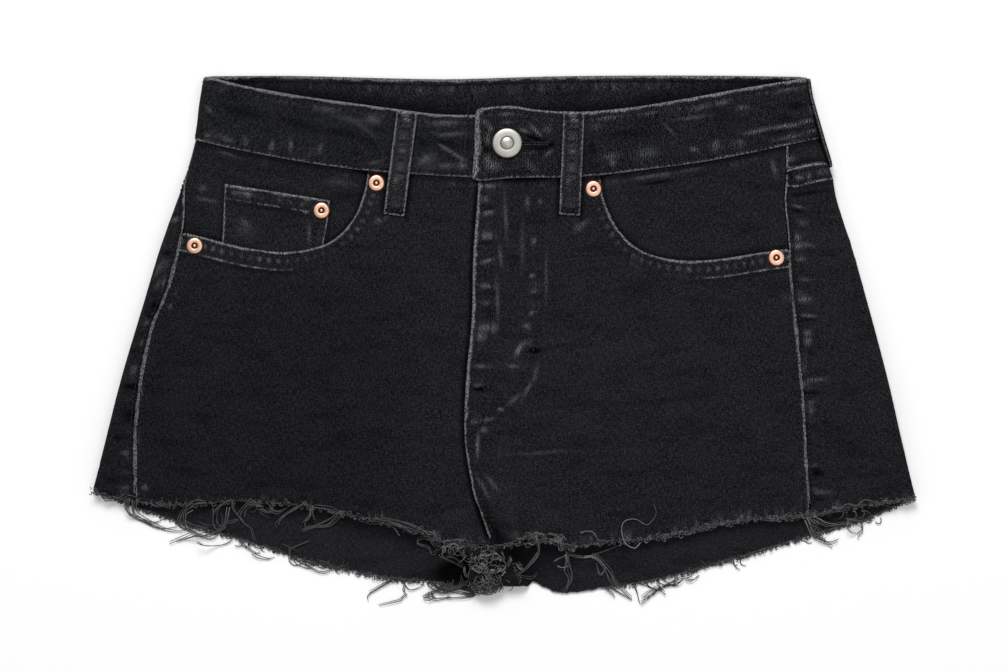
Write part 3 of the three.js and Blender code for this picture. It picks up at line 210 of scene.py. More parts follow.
# Threads pulled out of the hems: how many lie together, and x, y, x, y... along them
THREADS_FRONT_RIGHT = [
    (1, [-223, -97, -224, -102, -222, -107, -214, -112, -207, -114, -197, -113]),
    (1, [-222, -97, -223, -103, -220, -107, -205, -115, -194, -116]),
    (1, [-227, -99, -227, -102, -225, -105, -219, -108, -211, -110, -204, -108]),
    (1, [-225, -96, -226, -103, -223, -107, -209, -113, -204, -114]),
    (2, [-179, -98, -184, -98, -190, -100, -195, -108, -194, -112, -180, -120, -174, -119, -171, -116]),
    (2, [-187, -100, -191, -103, -192, -108, -191, -112, -176, -117]),
    (1, [-175, -101, -175, -105, -175, -110, -174, -114]),
    (2, [-168, -98, -172, -102, -173, -106, -173, -110, -171, -113, -168, -111, -167, -107, -168, -103]),
    (2, [-165, -101, -168, -112, -172, -116, -183, -119, -187, -118]),
    (1, [-184, -114, -193, -118, -202, -122]), (1, [-180, -116, -189, -119, -198, -122]),
    (1, [-185, -122, -181, -124, -173, -124, -166, -122, -164, -120]),
    (2, [-163, -98, -163, -102, -157, -111, -153, -114, -150, -122]),
    (1, [-160, -108, -163, -110, -167, -111, -170, -113]),
    (2, [-149, -98, -154, -99, -157, -102, -159, -106, -156, -111]),
    (2, [-146, -100, -152, -100, -156, -103, -157, -107]),
    (2, [-146, -102, -142, -104, -139, -104, -140, -101, -143, -99, -146, -100, -147, -104, -144, -107,
         -141, -108]), (2, [-140, -102, -136, -104, -131, -102, -129, -99, -132, -97]),
    (2, [-121, -99, -127, -102, -136, -109, -136, -112]),
    (1, [-124, -100, -129, -103, -135, -107, -136, -111]),
    (2, [-121, -98, -117, -102, -118, -106, -122, -111]),
    (1, [-116, -102, -117, -107, -120, -111, -119, -116]),
    (1, [-115, -100, -115, -104, -114, -108, -113, -110]), (1, [-114, -101, -104, -102, -99, -106]),
    (2, [-96, -104, -100, -104, -106, -109, -122, -116]),
    (2, [-97, -106, -98, -105, -106, -112, -116, -113, -122, -115]),
    (1, [-48, -115, -42, -116, -45, -117, -55, -111, -72, -107, -76, -105]),
    (1, [-50, -114, -53, -117, -56, -117, -66, -112, -84, -109]), (2, [-52, -115, -65, -110, -75, -109]),
    (1, [-63, -118, -68, -112, -81, -111, -85, -110, -84, -109]), (2, [-57, -114, -67, -111, -68, -108]),
    (1, [-55, -116, -58, -115, -60, -115, -61, -117]),
    (2, [-42, -116, -41, -119, -43, -121, -49, -120, -52, -122, -51, -124, -45, -126, -44, -129, -42,
         -130, -38, -123]), (1, [-43, -121, -41, -123, -39, -121, -41, -120]),
    (2, [-35, -121, -33, -121, -34, -123, -39, -127]), (2, [-34, -121, -24, -120, -20, -124]),
    (2, [-25, -121, -30, -124, -34, -129]), (2, [-24, -123, -25, -124, -29, -126, -32, -128]),
    (2, [-37, -128, -36, -131, -24, -137]), (1, [-34, -130, -30, -131, -27, -133, -24, -136]),
    (2, [-24, -137, -24, -140, -22, -143, -20, -136]),
    (2, [-22, -134, -19, -134, -18, -137, -16, -138, -12, -138]),
    (2, [-18, -126, -15, -126, -13, -128, -14, -131, -16, -132, -13, -134, -8, -132, -9, -129]),
    (2, [-5, -125, 1, -124, 5, -126, -4, -130, -3, -134, 2, -133, 3, -131]),
    (2, [-20, -131, -15, -130, -5, -132, -2, -130]), (2, [-21, -136, -10, -139, -5, -138, 0, -139]),
    (1, [-19, -128, -20, -131, -18, -135, -13, -136, -10, -134]),
    (1, [-10, -126, -6, -128, -2, -126, 2, -128, 0, -131])]
THREADS_FRONT_LEFT = [
    (2, [18, -117, 21, -129, 12, -139, 10, -143, 17, -144, 20, -142]),
    (2, [19, -118, 21, -126, 18, -132, 11, -140]),
    (2, [27, -116, 33, -117, 37, -120, 37, -125, 42, -129, 49, -131, 71, -123, 72, -120]),
    (1, [32, -118, 38, -128, 44, -131, 51, -132]), (1, [30, -133, 35, -131, 43, -130, 50, -131]),
    (2, [37, -129, 41, -144, 35, -153]), (2, [37, -130, 38, -134, 37, -140, 39, -145, 37, -153]),
    (1, [32, -136, 35, -137, 39, -136, 38, -132]),
    (2, [49, -131, 54, -131, 58, -134, 61, -139, 58, -142, 56, -135]),
    (2, [53, -131, 56, -132, 61, -137, 65, -142, 67, -147, 77, -157]),
    (1, [55, -132, 59, -135, 64, -145, 69, -150]), (2, [46, -116, 50, -115, 54, -116, 57, -120, 65, -121]),
    (1, [53, -116, 56, -120, 56, -123]), (1, [72, -120, 76, -121, 80, -123, 78, -124]),
    (2, [12, -120, 14, -118, 15, -121, 16, -123]), (2, [15, -118, 17, -117, 18, -120, 18, -122]),
    (2, [19, -117, 21, -116, 22, -120, 22, -122]), (2, [22, -117, 24, -117, 25, -120, 25, -122]),
    (1, [5, -120, 12, -119, 17, -117, 23, -116]), (2, [178, -106, 180, -107, 187, -119]),
    (2, [182, -107, 187, -117, 192, -121, 197, -122, 202, -120]),
    (2, [186, -104, 188, -107, 188, -111, 184, -118]),
    (2, [187, -105, 190, -108, 196, -111, 203, -111, 213, -108]),
    (1, [188, -107, 193, -110, 200, -111, 205, -109]),
    (2, [206, -108, 214, -110, 216, -114, 213, -117, 214, -118]),
    (1, [207, -109, 207, -114, 210, -117, 213, -117]), (1, [187, -115, 189, -117, 193, -122, 198, -126]),
    (1, [176, -105, 181, -106, 193, -105, 198, -106]),
    (2, [197, -101, 202, -102, 206, -99, 212, -100, 217, -97, 232, -101])]
THREADS_BACK_RIGHT = [
    (1, [-160, -122, -152, -128, -148, -129, -148, -128]),
    (1, [-151, -129, -146, -131, -141, -132, -138, -131]),
    (1, [-129, -125, -129, -130, -122, -135, -117, -137]),
    (1, [-120, -135, -113, -139, -108, -140, -104, -138, -106, -136]),
    (1, [-117, -121, -122, -123, -128, -126, -129, -130]), (1, [-66, -144, -81, -153, -82, -157]),
    (1, [-65, -144, -73, -148, -81, -153]), (1, [-61, -145, -57, -151, -48, -148]),
    (1, [-60, -146, -61, -151, -59, -153, -61, -155, -64, -157, -76, -160]),
    (2, [-45, -149, -37, -153, -28, -150, -18, -153, -19, -155, -27, -153, -32, -153, -34, -155]),
    (2, [-25, -147, -22, -148, -19, -150, -18, -153]), (2, [-37, -150, -27, -152, -17, -154]),
    (1, [-44, -153, -43, -154, -46, -156, -49, -155]), (2, [-44, -152, -43, -155, -39, -156, -32, -155]),
    (2, [-48, -155, -42, -152, -25, -148, -19, -151, -20, -155, -35, -156]),
    (2, [-42, -150, -35, -152, -27, -151, -21, -152, -15, -155])]
THREADS_BACK_LEFT = [
    (1, [61, -150, 65, -150, 71, -153, 77, -157]), (1, [78, -148, 80, -152, 82, -159]),
    (1, [103, -145, 92, -151, 82, -160]), (1, [97, -152, 94, -150, 90, -153, 83, -156]),
    (1, [108, -145, 104, -148, 98, -148]), (1, [62, -151, 64, -153, 67, -155, 66, -155]),
    (1, [105, -143, 102, -148, 89, -152, 84, -156]), (1, [114, -140, 112, -142, 104, -144, 103, -147]),
    (1, [93, -147, 95, -151, 94, -152]), (1, [110, -144, 114, -145, 118, -142])]

# Loose yarns: x, y, heading in degrees, length, turn in degrees, how many, how far apart
YARNS_FRONT_RIGHT = [
    (-238, -94, -50, 9, 120, 8, 12), (-206, -98, -60, 9, 150, 6, 14), (-150, -98, -20, 9, -170, 5, 9),
    (-84, -107, -60, 9, 200, 5, 12), (-30, -126, -70, 14, 260, 9, 14), (-20, -132, -50, 16, 200, 8, 10)]
YARNS_FRONT_LEFT = [
    (8, -122, -60, 10, 240, 10, 12), (34, -119, -70, 12, 62, 5, 6), (30, -120, -60, 8, 300, 8, 12),
    (184, -107, -62, 14, 84, 4, 5), (205, -103, -20, 10, -200, 6, 12)]
YARNS_BACK_RIGHT = [
    (-196, -110, -30, 14, 36, 5, 20), (-150, -124, -20, 12, -10, 4, 22), (-117, -133, -46, 12, 60, 5, 14),
    (-100, -137, -30, 9, 90, 5, 12), (-40, -148, -60, 12, 160, 8, 12)]
YARNS_BACK_LEFT = [
    (92, -145, -40, 12, 50, 4, 10), (138, -133, -100, 6, 120, 6, 24), (186, -118, -40, 9, 80, 5, 12),
    (212, -110, -50, 8, 160, 6, 16)]
# Painted shade in hollows, in the columns of the creases: on the outside, and inside the legs
PAINTED_SHADE = [(-4, -117, 12, 3.4, 1.2, -56), (-7, -135, 13, 7, 0.9, 0), (-17, -29.4, 4, 0.8, 1.0, 0), (19, -6.6, 2.6, 1, 1.0, 60),
           (176, 81, 5, 1.2, 0.7, 10), (-10, -104, 9, 2, 0.5, -64), (12, -126, 12, 4, 0.6, 10)]
PAINTED_SHADE_INSIDE = [(-34, -141, 10, 5, 1.6, 14), (-22, -139, 9, 7, 1.4, 0), (8, -137, 12, 9, 1.3, 0),
                  (-60, -121, 40, 2.5, 0.5, -12), (45, -128, 25, 3, 0.5, 2)]
# Places with a few stitches side by side: x, y, length, width, turn in degrees
BAR_TACKS = [(13.5, -2.5, 9, 3, 62), (-17, -46, 5, 1.6, 90)]
BIG_CURL = [(82, -122), (78.5, -125.5), (72.6, -122), (70.7, -114), (72.6, -109), (79.4, -108),
            (86, -111.5), (91.4, -105), (90, -99)]


def ease(t):
    t = np.clip(t, 0, 1)
    return t * t * (3 - 2 * t)


def through(table, source=0, target=1):
    """A smooth function through a table's rows, from one column to another."""
    rows = sorted((row[source], row[target]) for row in table)
    xs, ys = np.array(rows, float).T
    here = np.arange(len(xs))
    low, high = np.maximum(here - 1, 0), np.minimum(here + 1, len(xs) - 1)
    slope = (ys[high] - ys[low]) / (xs[high] - xs[low])

    def smooth(x):
        x = np.asarray(x, float)
        i = np.clip(np.searchsorted(xs, x) - 1, 0, len(xs) - 2)
        width = xs[i + 1] - xs[i]
        t = np.clip((x - xs[i]) / width, 0, 1)
        first = (2 * t**3 - 3 * t**2 + 1) * ys[i] + (t**3 - 2 * t**2 + t) * width * slope[i]
        return first + (3 * t**2 - 2 * t**3) * ys[i + 1] + (t**3 - t**2) * width * slope[i + 1]

    return smooth


edge_right, edge_left = through(EDGES), through(EDGES, 0, 2)
seam_past_right, seam_past_left = through(SIDE_SEAMS), through(SIDE_SEAMS, 0, 2)
front_centre, back_centre = through(FRONT_CENTRE), through(BACK_CENTRE)
waist_seam_front, waist_seam_back = through(WAIST_SEAM_FRONT), through(WAIST_SEAM_BACK)
yoke_seam = through(YOKE_SEAM)
front_hem = {-1: through(FRONT_HEM_RIGHT), 1: through(FRONT_HEM_LEFT)}
back_hem = {-1: through(BACK_HEM_RIGHT), 1: through(BACK_HEM_LEFT)}


def back_rest(y):
    return POCKET_REST * ease((y - REST_TO) / (REST_FROM - REST_TO))


def front_level(y):
    return LAID_HEIGHT - (LAID_HEIGHT - HEM_HEIGHT) * ease((SAG_FROM - y) / (SAG_FROM - SAG_TO))


def fold_radius(y, half):
    return (front_level(y) - back_rest(y) - half) / 2


def humps(table, x, y):
    total = np.zeros(np.broadcast(x, y).shape)
    for at_x, at_y, length, width, height, turn in table:
        c, s = math.cos(math.radians(turn)), math.sin(math.radians(turn))
        along_it = ((x - at_x) * c + (y - at_y) * s) / length
        across_it = ((y - at_y) * c - (x - at_x) * s) / width
        total += height * np.exp(-(along_it**2 + across_it**2) / 2)
    return total


def front_height(x, y):
    inside = np.minimum(x - edge_right(y), edge_left(y) - x) - fold_radius(y, CLOTH / 2)
    return front_level(y) + humps(FOLDS, x, y) * ease(inside / 22)


def fork_turn(u):
    return CROTCH_FOLD - 9 * ease((-21 - u) / 9) - 12 * ease((u - 12) / 9)


def on_front(x, y):
    """Points of the front cloth, given in plan; past a side fold's start they go round it."""
    r = fold_radius(y, CLOTH / 2)
    start, end = edge_right(y) + r, edge_left(y) - r
    past = np.maximum(start - x, x - end)
    side = np.where(x < start, -1, 1)
    tangent = np.where(x < start, start, end)
    round_x, round_z = tangent + side * r * np.sin(past / r), front_level(y) - r * (1 - np.cos(past / r))
    flat = past <= 0
    return np.stack([np.where(flat, x, round_x), y, np.where(flat, front_height(x, y), round_z)], -1)


def on_ring(u, v, half=CLOTH / 2):
    """Points of the ring of cloth, unrolled from the back round both side folds to the front."""
    low, r = back_rest(v) + half, fold_radius(v, half)
    start, end = edge_right(v) + r, edge_left(v) - r
    past = np.maximum(start - u, u - end)
    side, tangent = np.where(u < start, -1, 1), np.where(u < start, start, end)
    turned = np.clip(past / r, 0, math.pi)
    top = past > math.pi * r
    x = np.where(top, tangent - side * (past - math.pi * r), tangent + side * r * np.sin(turned))
    z = np.where(top, front_height(x, v), low + r * (1 - np.cos(turned)))
    flat = past <= 0
    x, y, z = np.where(flat, u, x), v + np.zeros_like(u), np.where(flat, low, z)
    turn = fork_turn(u)
    down, r = turn - v, (front_height(u, CROTCH_FOLD) - CLOTH / 2) / 2
    under, bend = down > 0, down < math.pi * r
    fold_y = np.where(bend, turn - r * np.sin(down / r), turn + down - math.pi * r)
    rise = ease((down - math.pi * r) / 12)
    above = (1 - rise) * (CLOTH / 2 + 2 * r) + rise * front_height(u, fold_y)
    fold_z = np.where(bend, CLOTH / 2 + r * (1 - np.cos(down / r)), above)
    return np.stack([np.where(under, u, x), np.where(under, fold_y, y), np.where(under, fold_z, z)], -1)


def band_ring(u, v):
    return on_ring(u, v, BAND / 2)


def unrolled(x, y, side, half=CLOTH / 2):
    r = fold_radius(y, half)
    tangent = edge_right(y) + r if side < 0 else edge_left(y) - r
    return 2 * tangent + side * math.pi * r - x


def quarter(y):
    return (math.pi / 2 - 1) * fold_radius(y, CLOTH / 2)


def side_seam_front(y, side):
    if side < 0:
        return edge_right(y) - quarter(y) + seam_past_right(y)
    return edge_left(y) + quarter(y) - seam_past_left(y)


def side_seam_ring(y, side):
    if side < 0:
        return edge_right(y) - quarter(y) - seam_past_right(y)
    return edge_left(y) + quarter(y) + seam_past_left(y)


def seam_top(side):
    y = 118.0
    for _ in range(8):
        y = waist_seam_front(side_seam_front(y, side))
    return float(y)


def yoke_end(side):
    y = 100.0
    for _ in range(8):
        y = yoke_seam(side_seam_ring(y, side))
    return float(y)


def waist_seam_ring(u):
    u = np.asarray(u, float)
    y = np.full(u.shape, 119.0)
    for _ in range(8):
        turned = (u < edge_right(y) - quarter(y)) | (u > edge_left(y) + quarter(y))
        x = on_ring(u, y)[..., 0]
        y = np.where(turned, waist_seam_front(x), waist_seam_back(x))
    return y


def normals(surface, sign, points, step=0.4):
    u, v = points[:, 0], points[:, 1]
    across = surface(u + step, v) - surface(u - step, v)
    up = surface(u, v + step) - surface(u, v - step)
    normal = np.cross(across, up)
    size = np.linalg.norm(normal, axis=1, keepdims=True)
    return sign * normal / np.maximum(size, LEAST)


def pairs(*columns):
    return np.stack(np.broadcast_arrays(*columns), -1).astype(float)


def spread(start, end, step):
    return np.linspace(start, end, max(2, int(abs(end - start) / step) + 1))


def resampled(points, step, closed=True):
    """The same line with a point about every step."""
    points = np.asarray(points, float)
    loop = np.vstack([points, points[:1]]) if closed else points
    lengths = np.linalg.norm(np.diff(loop, axis=0), axis=1)
    at = np.concatenate([[0], np.cumsum(lengths)])
    count = max(3, int(round(at[-1] / step)))
    s = np.linspace(0, at[-1], count + 1)
    line = np.stack([np.interp(s, at, loop[:, i]) for i in range(loop.shape[1])], -1)
    return line[:-1] if closed else line


def curve(table, step=1.5):
    """A smooth line through a table's points."""
    p = np.asarray(table, float)
    p = np.vstack([p[:1], p, p[-1:]])
    t = np.linspace(0, 1, 24, endpoint=False)[:, None]
    parts = []
    for a, b, c, d in zip(p[:-3], p[1:-2], p[2:-1], p[3:]):
        m, n = (c - a) / 2, (d - b) / 2
        parts.append((2 * t**3 - 3 * t**2 + 1) * b + (t**3 - 2 * t**2 + t) * m
                     + (3 * t**2 - 2 * t**3) * c + (t**3 - t**2) * n)
    return resampled(np.vstack(parts + [p[-1:]]), step, closed=False)


def along(line, points):
    """For each point, how far it lies left of a line (right is negative), and how far along."""
    if np.linalg.norm(np.diff(line, axis=0), axis=1).max() > 2:
        line = resampled(line, 1.2, closed=False)
    tree = KDTree(len(line))
    for number, (x, y) in enumerate(line):
        tree.insert((x, y, 0), number)
    tree.balance()
    nearest = np.array([tree.find((x, y, 0))[1] for x, y in points], int)
    ab = np.diff(line, axis=0)
    size = np.maximum(np.hypot(*ab.T), LEAST)
    start = np.concatenate([[0], np.cumsum(size)])
    best, side, place = np.full(len(points), np.inf), np.ones(len(points)), np.zeros(len(points))
    for shift in (-1, 0):
        k = np.clip(nearest + shift, 0, len(ab) - 1)
        ap = points - line[k]
        t = np.clip((ap * ab[k]).sum(axis=1) / size[k] ** 2, 0, 1)
        away = np.hypot(*(ap - t[:, None] * ab[k]).T)
        hit = away < best - LEAST
        best = np.where(hit, away, best)
        left = np.where(ab[k, 0] * ap[:, 1] - ab[k, 1] * ap[:, 0] < 0, -1, 1)
        side, place = np.where(hit, left, side), np.where(hit, start[k] + t * size[k], place)
    return best * side, place


def clear_of(points, lines, distance, cell=0.25):
    """The points that keep a distance from every line."""
    low = points.min(axis=0) - 4
    size = ((points.max(axis=0) - low + 4) / cell).astype(int) + 1
    taken = np.zeros(size, bool)
    reach = int(math.ceil(distance / cell))
    steps = range(-reach, reach + 1)
    disc = [(i, j) for i in steps for j in steps if math.hypot(i, j) * cell <= distance]
    for line in lines:
        at = np.round((resampled(line, cell, closed=False) - low) / cell).astype(int)
        for step in disc:
            here = at + step
            here = here[((here >= 0) & (here < size)).all(axis=1)]
            taken[here[:, 0], here[:, 1]] = True
    at = np.round((points - low) / cell).astype(int)
    return points[~taken[at[:, 0], at[:, 1]]]


def inside(loop, points):
    result = np.zeros(len(points), bool)
    x, y = points[:, 0], points[:, 1]
    for (ax, ay), (bx, by) in zip(loop, np.roll(loop, -1, axis=0)):
        crosses = (ay > y) != (by > y)
        result ^= crosses & (x < (bx - ax) * (y - ay) / (by - ay + (by == ay)) + ax)
    return result


def wander(s, period, seed):
    """Smooth random numbers from -1 to 1 along a length."""
    cell = np.floor(np.asarray(s, float) / period)
    t = ease(s / period - cell)

    def value(n):
        return (np.sin(n * 127.1 + seed * 311.7) * 43758.5453 % 1) * 2 - 1

    return value(cell) * (1 - t) + value(cell + 1) * t


def outside_of(loops, tris):
    """Which triangles lie beyond the loops, found by spreading from the loops' far sides."""
    fence, seeds, start = set(), [], 0
    for number, loop in enumerate(loops):
        n = len(loop)
        size = np.sum(loop[:, 0] * np.roll(loop[:, 1], -1) - np.roll(loop[:, 0], -1) * loop[:, 1])
        for i in range(n):
            edge = (start + i, start + (i + 1) % n)
            fence.update((edge, edge[::-1]))
            seeds.append(edge if (size > 0) == (number > 0) else edge[::-1])
        start += n
    owner = {}
    for t, (a, b, c) in enumerate(tris):
        owner[a, b], owner[b, c], owner[c, a] = t, t, t
    queue = [owner[edge] for edge in seeds if edge in owner]
    found = set(queue)
    while queue:
        a, b, c = tris[queue.pop()]
        for edge in ((b, a), (c, b), (a, c)):
            if edge not in fence and edge in owner and owner[edge] not in found:
                found.add(owner[edge])
                queue.append(owner[edge])
    return np.array(sorted(found), int)


def triangles_inside(loops, step, lines=()):
    """A flat sheet inside its outline and outside its holes: points, triangles."""
    rim = np.vstack(loops)
    low, high = rim.min(axis=0), rim.max(axis=0)
    rows = np.arange(low[1] + step * 0.5, high[1], step * 0.87)
    grid = [pairs(np.arange(low[0] + step * (0.25 + 0.5 * (i % 2)), high[0], step), y)
            for i, y in enumerate(rows)]
    grid = np.vstack(grid)
    keep = inside(loops[0], grid)
    grid = grid[keep]
    for hole in loops[1:]:
        grid = grid[~inside(hole, grid)]
    grid = clear_of(grid, lines, step * 0.5)
    if lines:
        marks = np.vstack(lines)
        marks = marks[inside(loops[0], marks)]
        cells = np.round(marks / 0.35).astype(int)
        grid = np.vstack([grid, marks[np.unique(cells, axis=0, return_index=True)[1]]])
    grid = clear_of(grid, [np.vstack([loop, loop[:1]]) for loop in loops], 0.45)
    points = np.vstack([rim, grid])
    edges, start = [], 0
    for loop in loops:
        n = len(loop)
        edges += [(start + i, start + (i + 1) % n) for i in range(n)]
        start += n
    found = delaunay_2d_cdt([Vector(p) for p in points], edges, [], 0, 1e-5)
    source = np.array([origin[0] for origin in found[3]])
    tris = source[np.array(found[2])]
    return points, np.delete(tris, outside_of(loops, [tuple(t) for t in tris.tolist()]), axis=0)


def new_mesh_object(name, points, faces, uv=None, fields=None, material=None):
    """An object at the origin from points in millimetres and faces of three or four corners."""
    mesh = bpy.data.meshes.new(name)
    mesh.vertices.add(len(points))
    place = (np.asarray(points) + SHIFT) * MM
    mesh.vertices.foreach_set("co", place.astype(np.float32).ravel())
    sizes = np.concatenate([np.full(len(f), f.shape[1]) for f in faces])
    corners = np.concatenate([f.ravel() for f in faces]).astype(np.int32)
    mesh.loops.add(len(corners))
    mesh.loops.foreach_set("vertex_index", corners)
    mesh.polygons.add(len(sizes))
    starts = np.concatenate([[0], np.cumsum(sizes)[:-1]]).astype(np.int32)
    mesh.polygons.foreach_set("loop_start", starts)
    mesh.polygons.foreach_set("use_smooth", np.ones(len(sizes), bool))
    if uv is not None:
        layer = mesh.uv_layers.new(name="cloth")
        layer.data.foreach_set("uv", np.asarray(uv)[corners].astype(np.float32).ravel())
    for field, values in (fields or {}).items():
        attribute = mesh.attributes.new(field, "FLOAT", "POINT")
        attribute.data.foreach_set("value", np.asarray(values, np.float32))
    mesh.update(calc_edges=True)
    mesh.validate()
    if material:
        mesh.materials.append(material)
    piece = bpy.data.objects.new(name, mesh)
    bpy.context.scene.collection.objects.link(piece)
    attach(piece, "root")
    return piece


BUTTON_BOX = np.array(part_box("button")) / MM
SHIFT = np.array([*((BUTTON_BOX[0] + BUTTON_BOX[1])[:2] / 2 - (BUTTON_X, BUTTON_Y)), 0])


class Trim:
    """A worn edge or seam line of a sheet: its wear, the band beside it, its rows of stitches and a painted shadow
    beside it.
    """

    def __init__(self, line, side=1, wear=0.0, band=0.0, lift=0.0, rows=(), pucker=0.0, period=5.0,
                 wash=0.0, seed=1, roll=0.0, stitches=True, dark=0.0, bead=0.0, beads=(), ridges=(), fine=0):
        self.line, self.side, self.wear, self.band = np.asarray(line, float), side, wear, band
        self.lift, self.rows, self.pucker, self.period = lift, rows, pucker, period
        self.wash, self.seed, self.roll, self.stitches = wash, seed, roll, stitches
        self.dark, self.bead, self.beads, self.ridges, self.fine = dark, bead, beads, ridges, fine

    def moved(self, row):
        """The same line shifted sideways to one of its rows."""
        ahead = np.gradient(self.line, axis=0)
        ahead /= np.maximum(np.linalg.norm(ahead, axis=1, keepdims=True), LEAST)
        return self.line + np.stack([-ahead[:, 1], ahead[:, 0]], -1) * self.side * row

    def guides(self):
        """Lines that the mesh has points on, so that this trim's edges stay crisp."""
        offsets = [row + d for row in self.rows for d in (-0.6, 0, 0.6)]
        if self.wear:
            offsets += [d * self.wear for d in (-1.1, -0.5, 0, 0.5, 1.1)]
        offsets += [far + d for far, *_ in self.ridges for d in (-1.0, -0.4, 0.4, 1.0)]
        offsets += [*np.arange(1, self.fine, 0.9)]
        return [resampled(self.moved(d), 1.3, closed=False) for d in offsets]

    def mark(self, points, fields, height):
        reach = max(self.band * 1.6, self.wear * 4, 8)
        low, high = self.line.min(axis=0) - reach, self.line.max(axis=0) + reach
        near = ((points >= low) & (points <= high)).all(axis=1)
        if not near.any():
            return
        d, s = along(self.line, points[near])
        d = d * self.side
        if self.wear:
            width = self.wear * (0.85 + 0.22 * wander(s, 9, self.seed) + 0.25 * wander(s, 2.6, self.seed))
            width += self.wear * self.bead * np.sin(2 * math.pi * s / 3.4 + 2 * wander(s, 21, self.seed))
            fields["edge"][near] = np.minimum(fields["edge"][near], np.abs(d) / np.maximum(width, 0.2))
        for far, width, start, end in self.ridges:
            share = s / max(s.max(), LEAST)
            shown = ease((share - start) / 0.2) * ease((end - share) / 0.1)
            faint = 0.3 + 0.9 * (1 - shown) + 0.22 * wander(s, 2.4, self.seed + 2)
            fields["edge"][near] = np.minimum(fields["edge"][near], np.abs(d - far) / width + faint)
            height[near] += 0.25 * shown * np.exp(-((d - far) / 0.9) ** 2)
            # Painted shade in the dip just past the ridge
            fields["wash"][near] -= 0.7 * shown * np.exp(-((d - far - 1.9) / 1.0) ** 2)
        for far, apart, size, amount in self.beads:
            turn = s / apart + 0.3 * wander(s, 17, self.seed + 21)
            spot = (0.5 + 0.5 * np.cos(2 * math.pi * turn)) ** 2 * (0.75 + 0.45 * wander(s, 8, self.seed + 23))
            spot = spot * np.exp(-((d - far + 0.5 * wander(s, 13, self.seed + 25)) / size) ** 2)
            fields["wash"][near] += amount * (spot - 0.12 * np.exp(-((d - far) / size) ** 2))
            height[near] += 0.14 * amount * spot
        if self.roll:
            height[near] += self.roll * np.exp(-((d - 1.1) / 1.1) ** 2)
        if self.band:
            in_band = ease(d / 0.5 + 0.5) * (1 - ease((d - self.band) / 1.4))
            height[near] += self.lift * in_band
            ripple = wander(s + 0.15 * d, self.period, self.seed + 5)
            ripple = ripple + 0.5 * wander(s - 0.2 * d, self.period * 0.45, self.seed + 9)
            across = np.exp(-((d - self.band * 0.5) / (self.band * 0.55)) ** 2)
            height[near] += self.pucker * ripple * across
            fields["wash"][near] += self.wash * (np.maximum(ripple, 0) * 1.3 - 0.15) * across
        # Painted shadow: a dark line just beside the edge, where a raised edge shades the cloth
        if self.dark:
            fields["wash"][near] -= self.dark * np.exp(-((d - 0.9) / 1.5) ** 2)
        for row in self.rows:
            away = np.abs(d - row)
            height[near] -= 0.25 * np.exp(-(away / 0.6) ** 2)
            fields["groove"][near] = np.minimum(fields["groove"][near], away)


